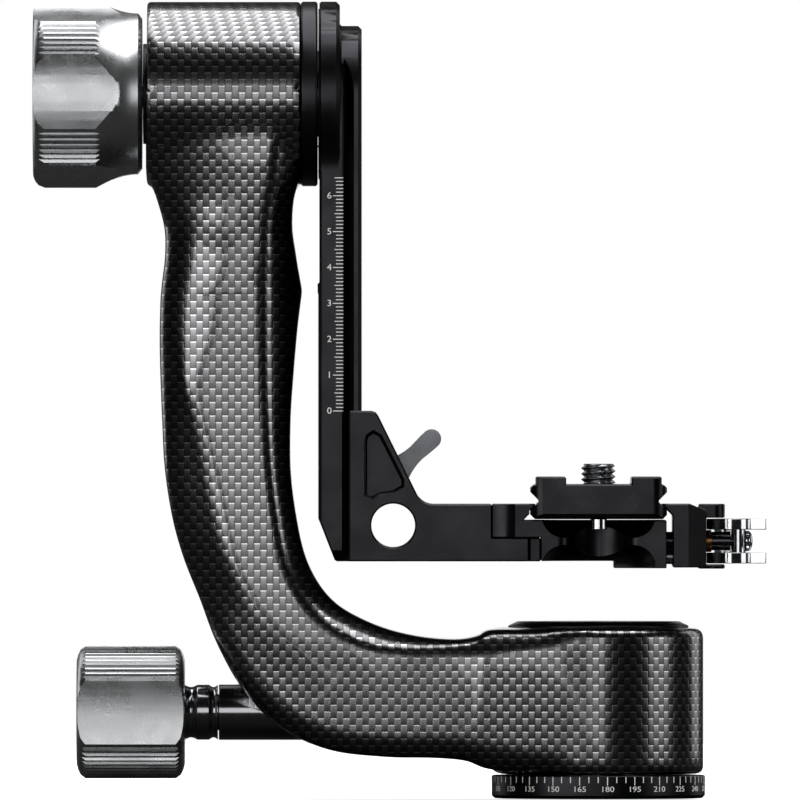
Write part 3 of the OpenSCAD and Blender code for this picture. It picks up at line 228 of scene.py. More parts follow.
def linear(colour: str) -> tuple[float, float, float, float]:
    """Turns an sRGB hex value into linear RGBA.

    Args:
        colour: such as "#17181a".

    Returns:
        Four linear channels.
    """
    channels = [int(colour[i : i + 2], 16) / 255 for i in (1, 3, 5)]
    low = [c / 12.92 if c <= 0.04045 else ((c + 0.055) / 1.055) ** 2.4 for c in channels]
    return (low[0], low[1], low[2], 1.0)


def add_node(
    tree: bpy.types.NodeTree, kind: str, inputs: dict | None = None, **settings: object
) -> bpy.types.Node:
    """Adds a shader node with its settings and links.

    Args:
        tree: the material's node tree.
        kind: Blender's node type.
        inputs: socket name or number to a value or to an output socket.
        settings: the node's properties.

    Returns:
        The new node.
    """
    node = tree.nodes.new(kind)
    for key, value in settings.items():
        setattr(node, key, value)
    for key, value in (inputs or {}).items():
        socket = node.inputs[key]
        if isinstance(value, bpy.types.NodeSocket):
            tree.links.new(value, socket)
        else:
            socket.default_value = value
    return node


def new_material(name: str) -> tuple[bpy.types.Material, bpy.types.NodeTree, bpy.types.Node]:
    """Starts a material with a Principled shader.

    Args:
        name: the material's name.

    Returns:
        The material, its tree and its shader node.
    """
    material = bpy.data.materials.new(name)
    material.use_nodes = True
    tree = material.node_tree
    return material, tree, tree.nodes["Principled BSDF"]


def mottle(
    tree: bpy.types.NodeTree, colour: str, pattern: bpy.types.NodeSocket, spread: Span, tones: Span
) -> None:
    """Makes a material's colour darker and lighter with a pattern.

    Args:
        tree: the material's node tree.
        colour: the sRGB hex value.
        pattern: the pattern's output socket.
        spread: the pattern's low and high value.
        tones: what the colour is multiplied by at these.
    """
    ends = {"From Min": spread[0], "From Max": spread[1], "To Min": tones[0], "To Max": tones[1]}
    tone = add_node(tree, "ShaderNodeMapRange", {"Value": pattern, **ends})
    mixed = add_node(
        tree,
        "ShaderNodeMix",
        {"Factor": 1.0, "A": linear(colour), "B": tone.outputs["Result"]},
        data_type="RGBA",
        blend_type="MULTIPLY",
    )
    tree.links.new(mixed.outputs["Result"], tree.nodes["Principled BSDF"].inputs["Base Color"])


def vary_gloss(
    tree: bpy.types.NodeTree, pattern: bpy.types.NodeSocket, spread: Span, roughness: Span
) -> None:
    """Makes a material duller and glossier with a pattern.

    Args:
        tree: the material's node tree.
        pattern: the pattern's output socket.
        spread: the pattern's low and high value.
        roughness: the roughness at these.
    """
    ends = {"From Min": spread[0], "From Max": spread[1], "To Min": roughness[0], "To Max": roughness[1]}
    level = add_node(tree, "ShaderNodeMapRange", {"Value": pattern, **ends})
    tree.links.new(level.outputs["Result"], tree.nodes["Principled BSDF"].inputs["Roughness"])


@dataclass(frozen=True)
class BlastedMetal:
    """Bead-blasted anodised aluminium: an even satin with a fine sparkle of grit marks."""

    name: str
    colour: str
    roughness: float
    grit_mm: float
    depth: float
    grit_spread: Span = (0.25, 0.75)
    grit_tones: Span = (0.88, 1.12)
    dent_mm: float = 0.05
    clouds_per_metre: float = 120.0
    cloud_spread: Span = (0.3, 0.7)
    glossier: float = 0.04
    duller: float = 0.05

    def material(self) -> bpy.types.Material:
        """Builds the finish.

        Returns:
            The material.
        """
        material, tree, shader = new_material(self.name)
        shader.inputs["Metallic"].default_value = 1.0
        place = add_node(tree, "ShaderNodeTexCoord").outputs["Object"]
        # grit marks are about 0.1 mm across; drawn coarser so that they show
        grains = {"Vector": place, "Scale": 1 / (self.grit_mm * MM), "Detail": 2.0, "Roughness": 0.6}
        grit = add_node(tree, "ShaderNodeTexNoise", grains).outputs["Fac"]
        clouds = {"Vector": place, "Scale": self.clouds_per_metre, "Detail": 3.0}
        cloud = add_node(tree, "ShaderNodeTexNoise", clouds).outputs["Fac"]
        mottle(tree, self.colour, grit, self.grit_spread, self.grit_tones)
        roughness = (self.roughness - self.glossier, self.roughness + self.duller)
        vary_gloss(tree, cloud, self.cloud_spread, roughness)
        dents = {"Height": grit, "Strength": self.depth, "Distance": self.dent_mm * MM}
        bump = add_node(tree, "ShaderNodeBump", dents)
        tree.links.new(bump.outputs["Normal"], shader.inputs["Normal"])
        return material


@dataclass(frozen=True)
class TurnedMetal:
    """Lathe-turned metal: faint rings of tool marks across a brighter ground."""

    name: str
    colour: str
    axis: Axis = Axis.Z
    roughness: float = 0.28
    pitch_mm: float = 0.35
    drawn_out: float = 0.04
    spread: Span = (0.3, 0.7)
    tones: Span = (0.92, 1.06)
    glossier: float = 0.05
    duller: float = 0.06

    def material(self) -> bpy.types.Material:
        """Builds the finish.

        Returns:
            The material.
        """
        material, tree, shader = new_material(self.name)
        shader.inputs["Metallic"].default_value = 1.0
        place = add_node(tree, "ShaderNodeTexCoord").outputs["Object"]
        far = self.drawn_out
        stretch = {Axis.X: (1, far, far), Axis.Z: (far, far, 1)}[self.axis]
        scaled = add_node(tree, "ShaderNodeMapping", {"Vector": place, "Scale": stretch}).outputs["Vector"]
        rings = {"Vector": scaled, "Scale": 1 / (self.pitch_mm * MM), "Detail": 2.0}
        marks = add_node(tree, "ShaderNodeTexNoise", rings).outputs["Fac"]
        mottle(tree, self.colour, marks, self.spread, self.tones)
        vary_gloss(tree, marks, self.spread, (self.roughness - self.glossier, self.roughness + self.duller))
        return material


@dataclass(frozen=True)
class WovenCoat:
    """Woven carbon tows under a clear coat: upright cells that flash light, half a step apart; their sheen,
    their fade and the highlight line at their tops, and the shade of the dipping tows and of the tow edges,
    are painted into the colour.
    """

    name: str = "woven_carbon_painted_sheen_clear_coat"
    roughness: float = 0.24
    coat: float = 0.7
    coat_roughness: float = 0.03
    coat_ior: float = 1.5
    tow_mm: float = 1.78
    period_mm: float = 3.75
    light_share: float = 0.56
    # the tones below are painted light: the sheen fading down an upright tow, the highlight line at its
    # top, and painted shade on the dipping tows and at the tow edges
    light: float = 0.34
    faded: float = 0.17
    fading: float = 1.3
    line: float = 0.85
    line_from: float = 0.87
    dark: float = 0.13
    dark_low: float = 0.5
    dark_rise: float = 0.6
    edge_steepness: float = 2.6
    edge_tone: float = 0.45
    blue: float = 1.03
    bump: float = 0.25
    bump_mm: float = 0.1

    def steps(self) -> dict[str, tuple]:
        """Lists the sums that turn the map's x and y into tone, which is painted sheen, highlight and
        shade, and into height.

        Returns:
            Name of each result to its operation and values, which are numbers or names of results.
        """
        dark_share = 1 - self.light_share
        return {
            "column": ("DIVIDE", "x", self.tow_mm),
            "across": ("FRACT", "column"),
            "number": ("FLOOR", "column"),
            "odd": ("FLOORED_MODULO", "number", 2.0),
            "row": ("DIVIDE", "y", self.period_mm),
            "shifted": ("MULTIPLY_ADD", "odd", 0.5, "row"),
            "along": ("FRACT", "shifted"),
            # the upper part of each step is the tow that flashes, painted with a sheen that fades down it
            # and a highlight line at its top; the rest dips under its neighbours and is painted in shade
            "is_light": ("GREATER_THAN", "along", dark_share),
            "past_dark": ("SUBTRACT", "along", dark_share),
            "rise": ("DIVIDE", "past_dark", self.light_share),
            "risen": ("MAXIMUM", "rise", 0.0),
            "curve": ("POWER", "risen", self.fading),
            "body": ("MULTIPLY_ADD", "curve", self.light - self.faded, self.faded),
            "is_line": ("GREATER_THAN", "rise", self.line_from),
            "top": ("MULTIPLY", "is_line", self.line - self.light),
            "tow": ("ADD", "body", "top"),
            "lit": ("MULTIPLY", "is_light", "tow"),
            "sunk": ("DIVIDE", "along", dark_share),
            "painted_dip_shade": ("MULTIPLY_ADD", "sunk", self.dark * self.dark_rise, self.dark * self.dark_low),
            "is_dark": ("SUBTRACT", 1.0, "is_light"),
            "unlit": ("MULTIPLY", "is_dark", "painted_dip_shade"),
            "level": ("ADD", "lit", "unlit"),
            # a tow is round across its width, so painted shade darkens it at both edges
            "across_turn": ("MULTIPLY", "across", math.pi),
            "arch": ("SINE", "across_turn"),
            "steep": ("MULTIPLY", "arch", self.edge_steepness),
            "round_off": ("MINIMUM", "steep", 1.0),
            "edge": ("MULTIPLY_ADD", "round_off", 1 - self.edge_tone, self.edge_tone),
            "shade": ("MULTIPLY", "level", "edge"),
            "blue": ("MULTIPLY", "shade", self.blue),
            "along_turn": ("MULTIPLY", "along", math.pi),
            "swell": ("SINE", "along_turn"),
            "height": ("MULTIPLY", "round_off", "swell"),
        }

    def material(self) -> bpy.types.Material:
        """Builds the finish on the piece's own map, which is in millimetres, with the tows' sheen,
        highlight and shade painted into the base colour.

        Returns:
            The material.
        """
        material, tree, shader = new_material(self.name)
        shader.inputs["Metallic"].default_value = 1.0
        shader.inputs["Roughness"].default_value = self.roughness
        shader.inputs["Coat Weight"].default_value = self.coat
        shader.inputs["Coat Roughness"].default_value = self.coat_roughness
        shader.inputs["Coat IOR"].default_value = self.coat_ior
        place = add_node(tree, "ShaderNodeUVMap", uv_map="Weave").outputs["UV"]
        parts = add_node(tree, "ShaderNodeSeparateXYZ", {0: place})
        found = {"x": parts.outputs["X"], "y": parts.outputs["Y"]}
        for name, (operation, *values) in self.steps().items():
            inputs = {k: found.get(value, value) for k, value in enumerate(values)}
            found[name] = add_node(tree, "ShaderNodeMath", inputs, operation=operation).outputs[0]
        channels = {0: found["shade"], 1: found["shade"], 2: found["blue"]}
        colour = add_node(tree, "ShaderNodeCombineColor", channels)
        tree.links.new(colour.outputs[0], shader.inputs["Base Color"])
        waves = {"Height": found["height"], "Strength": self.bump, "Distance": self.bump_mm * MM}
        bump = add_node(tree, "ShaderNodeBump", waves)
        tree.links.new(bump.outputs["Normal"], shader.inputs["Normal"])
        return material


@dataclass(frozen=True)
class PlainPaint:
    """Matt paint or plain polymer: flat and even, with a fine mottle."""

    name: str
    colour: str
    roughness: float = 0.55
    grain_mm: float = 0.4
    tones: Span = (0.9, 1.05)

    def material(self) -> bpy.types.Material:
        """Builds the finish.

        Returns:
            The material.
        """
        material, tree, shader = new_material(self.name)
        place = add_node(tree, "ShaderNodeTexCoord").outputs["Object"]
        grains = {"Vector": place, "Scale": 1 / (self.grain_mm * MM)}
        grain = add_node(tree, "ShaderNodeTexNoise", grains).outputs["Fac"]
        mottle(tree, self.colour, grain, (0.0, 1.0), self.tones)
        shader.inputs["Roughness"].default_value = self.roughness
        return material


class Finishes:
    """Every finish of the head, built once."""

    def __init__(self) -> None:
        """Builds the materials."""
        self.black = BlastedMetal("anodised_aluminium_black", "#38383b", 0.32, 0.25, 0.1).material()
        fine = BlastedMetal("anodised_aluminium_black_fine", "#323235", 0.28, 0.2, 0.06)
        self.black_fine = fine.material()
        self.dark_polish = TurnedMetal("polished_gunmetal", "#a2a2a6", Axis.X, 0.13).material()
        self.silver = BlastedMetal("bead_blasted_aluminium", "#dcdee0", 0.28, 0.3, 0.2).material()
        self.grey = BlastedMetal("grey_cast_lever", "#85878b", 0.32, 0.25, 0.1).material()
        self.steel = TurnedMetal("turned_steel", "#9fa1a4").material()
        self.steel_x = TurnedMetal("turned_steel_x", "#a4a6a9", Axis.X).material()
        self.bearing = TurnedMetal("ground_bearing_steel", "#c3c5c8", Axis.Z, 0.16).material()
        self.black_steel = TurnedMetal("black_oxide_steel", "#4a4a4d", Axis.X, 0.2).material()
        self.chrome = TurnedMetal("chrome_plate", "#e4e6e8", Axis.Z, 0.1, 0.6).material()
        self.brass = TurnedMetal("satin_brass", "#a9793f", Axis.X, 0.3).material()
        self.polymer = PlainPaint("black_acetal", "#101012", 0.45).material()
        self.white = PlainPaint("white_scale_paint", "#e6e6e2").material()
        self.weave = WovenCoat().material()


# Arm


def soft_max(a: np.ndarray, b: np.ndarray, reach: float | np.ndarray) -> np.ndarray:
    """Larger of two fields, rounded where they meet.

    Args:
        a: first field in millimetres.
        b: second field.
        reach: how far the rounding reaches.

    Returns:
        The joined field.
    """
    h = np.maximum(reach - np.abs(a - b), 0) / reach
    return np.maximum(a, b) + h * h * reach / 4


def soft_min(a: np.ndarray, b: np.ndarray, reach: float) -> np.ndarray:
    """Smaller of two fields, filled where they meet.

    Args:
        a: first field in millimetres.
        b: second field.
        reach: how far the fillet reaches.

    Returns:
        The joined field.
    """
    return -soft_max(-a, -b, reach)


def half_plane(d: np.ndarray, y: np.ndarray, p: tuple, q: tuple) -> np.ndarray:
    """Signed distance to the line from p to q, positive outside.

    Args:
        d: distance from the outer edge.
        y: half depth.
        p: line's start as (d, y).
        q: line's end.

    Returns:
        The distances.
    """
    run, rise = q[0] - p[0], q[1] - p[1]
    length = np.sqrt(run * run + rise * rise) + 1e-9
    return ((y - p[1]) * run - (d - p[0]) * rise) / length


@dataclass(frozen=True)
class Bore:
    """A round hole through the arm, in millimetres."""

    axis: Axis
    start: float
    end: float
    radius: float
    height: float = 0.0


@dataclass(frozen=True)
class ArmEdges:
    """How far the rounding reaches on each edge of the arm, in millimetres."""

    outer_side: float = 1.4
    outer_face: float = 1.6
    inner_bevel: float = 0.7
    inner_side: float = 0.9
    inner_face: float = 1.6
    tilt_rim: float = 1.2
    pan_rim: float = 3.2
    pan_foot: float = 2.4
    tilt_fillet: float = 1.6
    pan_fillet: float = 1.2


class Patch(Enum):
    """Parts of the arm that the weave is laid on in one way."""

    TILT_HUB = "tilt hub"
    PAN_HUB = "pan hub"
    LEVEL = "level faces"
    END = "end faces"
    FLANK = "flanks"


@dataclass(frozen=True)
class WeaveLay:
    """Where each patch of the weave ends, in millimetres and shares of a normal, and its lean."""

    tilt_end: float = 0.5
    tilt_skin: float = 0.4
    tilt_low: float = 180.0
    pan_end: float = 0.6
    pan_high: float = 60.0
    level: float = 0.75
    end: float = 0.8
    lean: float = 0.8
    lean_from: float = 0.6
    narrow: float = 0.94


@dataclass
class SculptedArm:
    """The C-shaped arm: a bevelled bar that swells into a tilt hub and a pan hub."""

    tilt_r: float = 25.7
    tilt_left: float = -126.0
    tilt_right: float = -83.1
    pan_r: float = 29.3
    pan_low: float = 6.8
    pan_high: float = 47.6
    ridge_in: float = 0.86
    ridge_in_less: float = 0.64
    ridge_drop: float = 0.06
    ridge_drop_more: float = 0.39
    edges: ArmEdges = ArmEdges()
    lay: WeaveLay = WeaveLay()
    crease: float = 34.0
    rings_per_step: int = 7
    tilt_rings: int = 26
    pan_rings: int = 34
    first_turn: float = 3.0
    last_turn: float = 88.5
    ring_points: int = 76
    gather: float = 0.45
    halvings: int = 26
    farthest: float = 1.7
    bore_sides: int = 96

    def stations(self) -> np.ndarray:
        """Stations down the arm.

        Returns:
            Rows of outer x and z, inner x and z, edge, outer bevel, inner bevel, half thickness,
            outer face, outer side, inner side and softness of the outer bevel.
        """
        return np.array(
            [
                [-125.9, 196.7, -83.2, 196.7, 1.5, 5, 4, 24.2, 23.4, 22.4, 21.6, 4],
                [-125.8, 190, -83.3, 190, 1.5, 7, 5.4, 24.2, 22.4, 20.8, 18.8, 5],
                [-125.8, 184, -83.3, 184, 1.5, 9, 6.2, 24.1, 21.4, 19.4, 17.4, 6],
                [-125.8, 178, -83.3, 178, 1.5, 10, 7, 23.8, 19.4, 16.9, 16.4, 8],
                [-125.4, 173, -83.5, 173, 1.6, 10.4, 7.4, 23.4, 17.4, 14.9, 15.4, 9],
                [-123.2, 167, -85, 167, 1.8, 9.8, 7, 22.95, 15.9, 13.4, 14.4, 9],
                [-121.2, 159.2, -85.4, 159.2, 2, 8.8, 7.4, 22.4, 14.5, 11.5, 12.5, 8],
                [-121, 151.7, -84.4, 151.7, 2, 8.6, 8.8, 21.93, 14.5, 11.5, 11.5, 8],
                [-121.8, 144.5, -83.2, 144.5, 2, 8.4, 10.4, 21.52, 14.5, 11.5, 9.5, 7],
                [-122.1, 141.6, -82.8, 141.6, 2, 8.3, 10.8, 21.36, 14.5, 11.5, 9, 7],
                [-122.3, 138.5, -83.1, 138.5, 2, 8.3, 10.4, 21.2, 14.5, 11.5, 9.5, 7],
                [-122.5, 129, -84.2, 129, 2, 8, 9.4, 20.8, 14.5, 11.5, 11, 6],
                [-122.3, 118, -85.1, 118, 2, 7.2, 8.2, 20.55, 14.5, 11.5, 12, 3],
                [-121.8, 105.6, -85.9, 105.6, 2, 9.8, 6.8, 20.5, 14.5, 11.5, 13, 0.7],
                [-121.1, 92.2, -85.9, 92.2, 2.2, 12.4, 6, 20.7, 14, 11, 14, 0.7],
                [-119, 78.5, -84.5, 80, 2.4, 13, 5.8, 21.1, 14, 11, 14.5, 0.7],
                [-115.9, 67.4, -82, 68.4, 2.6, 12.4, 6.4, 21.5, 14.5, 11.5, 15, 0.7],
                [-111.4, 56, -78.1, 60.2, 2.8, 12, 7, 22, 16, 13, 15.5, 1.5],
                [-106.2, 42.6, -73, 54.4, 3.2, 12.6, 7.4, 22.7, 18.5, 14.5, 16, 2.5],
                [-98.4, 29.2, -66.4, 50.4, 3.6, 12.8, 7.6, 23.5, 21, 16, 17, 4],
                [-88, 19.4, -59, 47.4, 4, 12, 7.8, 24.5, 23.3, 18, 18, 5],
                [-75, 13.6, -51.6, 45.6, 4.2, 11, 7.2, 25.5, 25.1, 20.5, 19.5, 5],
                [-60, 11.7, -44.4, 44.7, 4, 10, 6.4, 26.5, 26.3, 22, 21.5, 5],
                [-46, 11.4, -38.6, 44.6, 3.9, 9, 6, 27.3, 27.2, 23.3, 22.8, 4],
                [-37.2, 10.6, -34, 45.5, 4, 8, 6.2, 27.8, 27.7, 23.8, 22.8, 3],
                [-31, 8.4, -30.2, 47.2, 4.6, 7, 6.6, 28.1, 28, 24.3, 22.3, 2],
                [-20, 7.2, -20, 47.3, 3.6, 6, 5.4, 28.3, 28.2, 24.3, 23.8, 2],
                [-2, 7.2, -2, 47.3, 2.4, 4, 3, 28.3, 28.2, 25.3, 25.3, 1.5],
            ]
        )

    def path(self) -> np.ndarray:
        """Fills in the stations and adds the far halves of both hubs.

        Returns:
            Rows like the stations', with a last column of -1 at the tilt hub's top half, 1 past the pan
            axis and 0 between.
        """
        s = self.stations()
        rows = []
        for turn in np.linspace(self.last_turn, self.first_turn, self.tilt_rings):
            row = s[0].copy()
            row[1] = row[3] = TILT_Z + self.tilt_r * math.sin(math.radians(turn))
            rows.append(np.append(row, -1))
        for i in range(len(s) - 1):
            p0, p1, p2, p3 = s[max(i - 1, 0)], s[i], s[i + 1], s[min(i + 2, len(s) - 1)]
            square, cube = 2 * p0 - 5 * p1 + 4 * p2 - p3, 3 * p1 - p0 - 3 * p2 + p3
            for k in range(self.rings_per_step):
                t = k / self.rings_per_step
                row = 0.5 * (2 * p1 + (p2 - p0) * t + square * t**2 + cube * t**3)
                rows.append(np.append(row, 0))
        for turn in np.linspace(0, self.last_turn, self.pan_rings):
            row = s[-1].copy()
            row[0] = row[2] = self.pan_r * math.sin(math.radians(turn))
            rows.append(np.append(row, 1))
        return np.array(rows)

    def bar_field(self, d: np.ndarray, y: np.ndarray, row: list[np.ndarray]) -> np.ndarray:
        """Signed distance to the bevelled section of the bar.

        Args:
            d: distance from the outer edge, one row a ring.
            y: depth, of the same shape.
            row: station values, broadcast over the points.

        Returns:
            The field, negative inside.
        """
        y = np.abs(y)
        width, edge, outer, inner, t, face, side_o, side_i, soft, level = row
        # the ridge of the inner bevel lies near the panel where the bar stands, and lower down and nearer
        # the inner edge where it lies level
        ridge_d = width - inner * (self.ridge_in - self.ridge_in_less * level)
        ridge_y = t - (self.ridge_drop + self.ridge_drop_more * level) * (t - side_i)
        f = -d
        f = soft_max(f, half_plane(d, y, (0 * d, side_o), (edge, face)), self.edges.outer_side)
        f = soft_max(f, half_plane(d, y, (edge, face), (outer, t)), self.edges.outer_face)
        f = soft_max(f, y - t, soft)
        f = soft_max(f, half_plane(d, y, (width - inner, t), (ridge_d, ridge_y)), self.edges.inner_bevel)
        f = soft_max(f, half_plane(d, y, (ridge_d, ridge_y), (width, side_i)), self.edges.inner_side)
        return soft_max(f, d - width, self.edges.inner_face)

    def tilt_field(self, x: np.ndarray, y: np.ndarray, z: np.ndarray) -> np.ndarray:
        """Signed distance to the tilt hub."""
        across = np.sqrt(y * y + (z - TILT_Z) ** 2) - self.tilt_r
        return soft_max(across, np.maximum(self.tilt_left - x, x - self.tilt_right), self.edges.tilt_rim)

    def pan_field(self, x: np.ndarray, y: np.ndarray, z: np.ndarray) -> np.ndarray:
        """Signed distance to the pan hub."""
        topped = soft_max(np.sqrt(x * x + y * y) - self.pan_r, z - self.pan_high, self.edges.pan_rim)
        return soft_max(topped, self.pan_low - z, self.edges.pan_foot)

    def ring(self) -> np.ndarray:
        """Points round a square, gathered towards its corners, where the bevels are.

        Returns:
            Rows of two shares from -1 to 1: of half the width and of half the depth.
        """
        unit = np.linspace(-1, 1, self.ring_points // 4 + 1)[:-1]
        one = np.ones_like(unit)
        sides = ((unit, -one), (one, unit), (-unit, one), (-one, -unit))
        ring = np.concatenate([np.stack(side, 1) for side in sides])
        return np.sin(ring * math.pi / 2) * self.gather + ring * (1 - self.gather)

    def ray_boxes(self, rows: np.ndarray) -> tuple[np.ndarray, np.ndarray, np.ndarray]:
        """Works out the box that each ring's rays are aimed at.

        Args:
            rows: the path's rows.

        Returns:
            Middle of the width, half the width and half the depth, a column each.
        """
        blend_from, blend_over, low_part, least = -32, 6, 60, 0.01
        o_x, o_z, i_x, i_z = (rows[:, k] for k in range(4))
        x_mid, z_mid = (o_x + i_x) / 2, (o_z + i_z) / 2
        half_d = np.linalg.norm(rows[:, [2, 3]] - rows[:, [0, 1]], axis=1) / 2
        half_y = rows[:, 7].copy()
        top, past = rows[:, -1] < 0, rows[:, -1] > 0
        half_y[top] = np.sqrt(np.maximum(self.tilt_r**2 - (o_z[top] - TILT_Z) ** 2, least))
        half_y[past] = np.sqrt(np.maximum(self.pan_r**2 - x_mid[past] ** 2, least))
        near_pan = np.clip((x_mid - blend_from) / blend_over, 0, 1) * (o_z < low_part)
        mid_d = half_d + near_pan * ((self.pan_high + self.pan_low) / 2 - z_mid)
        half_d = half_d + near_pan * ((self.pan_high - self.pan_low) / 2 - half_d)
        return mid_d[:, None], half_d[:, None], half_y[:, None]

    def cast(self, rows: np.ndarray) -> np.ndarray:
        """Casts rays from the arm's core line and finds the surface on each by halving.

        Args:
            rows: the path's rows.

        Returns:
            Points by ring, ray and direction.
        """
        mid_d, half_d, half_y = self.ray_boxes(rows)
        ring = self.ring()
        step_d, step_y = ring[None, :, 0] * half_d, ring[None, :, 1] * half_y
        o, i = rows[:, [0, 1]], rows[:, [2, 3]]
        width = np.linalg.norm(i - o, axis=1)[:, None]
        u = (i - o) / width
        # how level the bar lies: its inner bevel faces up there and is flatter near the panel
        values = [width] + [rows[:, [k]] for k in range(4, 12)] + [np.abs(u[:, 1:]) ** 2]
        hub_only, outside = rows[:, [-1]] != 0, 99.0
        low, high = np.zeros_like(step_d), np.full_like(step_d, self.farthest)
        for _ in range(self.halvings):
            t = (low + high) / 2
            d, y = mid_d + t * step_d, t * step_y
            x, z = o[:, [0]] + u[:, [0]] * d, o[:, [1]] + u[:, [1]] * d
            bar = np.where(hub_only, outside, self.bar_field(d, y, values))
            f = soft_min(bar, self.tilt_field(x, y, z), self.edges.tilt_fillet)
            f = soft_min(f, self.pan_field(x, y, z), self.edges.pan_fillet)
            low, high = np.where(f < 0, t, low), np.where(f < 0, high, t)
        return np.stack([x, y, z], -1)

    def skin_faces(self, m: int, n: int) -> list[Face]:
        """Lists the faces between the rings and over the two end rings.

        Args:
            m: number of rings.
            n: points in a ring.

        Returns:
            Vertex numbers of each face.
        """
        faces = [
            (j * n + k, j * n + (k + 1) % n, (j + 1) * n + (k + 1) % n, (j + 1) * n + k)
            for j in range(m - 1)
            for k in range(n)
        ]
        q = n // 4
        for base in (0, (m - 1) * n):
            for k in range(q):
                far = base + (3 * q - k) % n
                faces.append((base + k, base + k + 1, base + (3 * q - k - 1) % n, far))
            faces.append(tuple(base + (3 * q + k) % n for k in range(q + 1)))
            faces.append(tuple(base + q + k for k in range(q + 1)))
        return faces

    def skin(self) -> bpy.types.Object:
        """Meshes the arm's surface.

        Returns:
            The closed skin.
        """
        points = self.cast(self.path())
        rings, count, _ = points.shape
        piece = mesh_piece("arm_skin", points.reshape(-1, 3), self.skin_faces(rings, count))
        face_outwards(piece)
        return piece

    def bores(self) -> list[Bore]:
        """Lists the bores.

        Returns:
            Those of the tilt hub, of the pan hub and of the pan lock.
        """
        return [
            Bore(Axis.X, -127.0, -82.0, 12.5, TILT_Z),
            Bore(Axis.X, -123.0, -82.0, 16.02, TILT_Z),
            Bore(Axis.Z, 5.8, 9.0, 17.0),
            Bore(Axis.Z, 8.9, 38.0, 16.02),
            Bore(Axis.Z, 37.9, 48.6, 22.62),
            Bore(Axis.X, -125.0, -80.0, 7.77, PAN_LOCK_Z),
            Bore(Axis.X, -81.0, -10.0, 3.2, PAN_LOCK_Z),
            Bore(Axis.X, -26.0, -10.0, 5.05, PAN_LOCK_Z),
        ]

    def cut(self, piece: bpy.types.Object) -> None:
        """Cuts the bores out of the skin.

        Args:
            piece: the arm's skin.
        """
        for bore in self.bores():
            middle = (bore.start + bore.end) / 2 * MM
            lies = bore.axis is Axis.X
            clear_selection()
            bpy.ops.mesh.primitive_cylinder_add(
                vertices=self.bore_sides,
                radius=bore.radius * MM,
                depth=(bore.end - bore.start) * MM,
                location=(middle, 0, bore.height * MM) if lies else (0, 0, middle),
                rotation=(0, math.pi / 2, 0) if lies else (0, 0, 0),
            )
            cutter = bpy.context.object
            add_modifier(piece, "BOOLEAN", object=cutter, operation="DIFFERENCE", solver="MANIFOLD")
            bpy.data.objects.remove(cutter)

    def patch_of(self, c: Vector, n: Vector) -> Patch:
        """Tells which patch of the weave a face belongs to.

        Args:
            c: the face's middle in millimetres.
            n: its normal.

        Returns:
            The patch.
        """
        off_hub = abs(math.hypot(c.y, c.z - TILT_Z) - self.tilt_r)
        if off_hub < self.lay.tilt_skin and abs(n.x) < self.lay.tilt_end and c.z > self.lay.tilt_low:
            return Patch.TILT_HUB
        if c.x > 0 and abs(n.z) < self.lay.pan_end and c.z < self.lay.pan_high:
            return Patch.PAN_HUB
        if abs(n.z) > self.lay.level:
            return Patch.LEVEL
        return Patch.END if abs(n.x) > self.lay.end else Patch.FLANK

    def unrolled(self, p: Vector, patch: Patch) -> Span:
        """Place of a point on the weave.

        Args:
            p: the point in millimetres.
            patch: the patch that it lies on.

        Returns:
            Its place in millimetres.
        """
        if patch is Patch.TILT_HUB:
            around = math.atan2(p.z - TILT_Z, abs(p.y))
            lean = self.lay.lean * self.tilt_r * max(0.0, around - self.lay.lean_from)
            return ((p.x - lean) * self.lay.narrow, TILT_Z + self.tilt_r * around)
        if patch is Patch.PAN_HUB:
            return (self.pan_r * math.atan2(p.x, abs(p.y)), p.z)
        return {Patch.LEVEL: (p.x, p.y), Patch.END: (p.y, p.z), Patch.FLANK: (p.x, p.z)}[patch]

    def map_weave(self, piece: bpy.types.Object) -> None:
        """Unrolls the weave over the arm and round both hubs, in millimetres.

        Args:
            piece: the arm.
        """
        mesh = piece.data
        layer = mesh.uv_layers.new(name="Weave")
        for face in mesh.polygons:
            patch = self.patch_of(face.center / MM, face.normal)
            for loop in face.loop_indices:
                point = mesh.vertices[mesh.loops[loop].vertex_index].co / MM
                layer.data[loop].uv = self.unrolled(point, patch)

    def build(self, finishes: Finishes) -> bpy.types.Object:
        """Makes and dresses the arm.

        Args:
            finishes: the head's materials.

        Returns:
            The arm.
        """
        piece = self.skin()
        piece.name = "woven_arm"
        self.cut(piece)
        self.map_weave(piece)
        smooth_by_angle(piece, self.crease)
        dress(piece, finishes.weave)
        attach(piece, "arm")
        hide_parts("main_arm")
        return piece


# Metal pieces


class Fit(Enum):
    """Width in millimetres of the rounding on an edge."""

    CRISP = 0.12
    FINE = 0.2
    SOFT = 0.35


@dataclass(frozen=True)
class Work:
    """How one CAD node is finished: body, material, record slot, rounding and chamfer in millimetres."""

    node: str
    body: str
    finish: str
    slot: str
    fit: Fit = Fit.FINE
    chamfer: float = 0.0


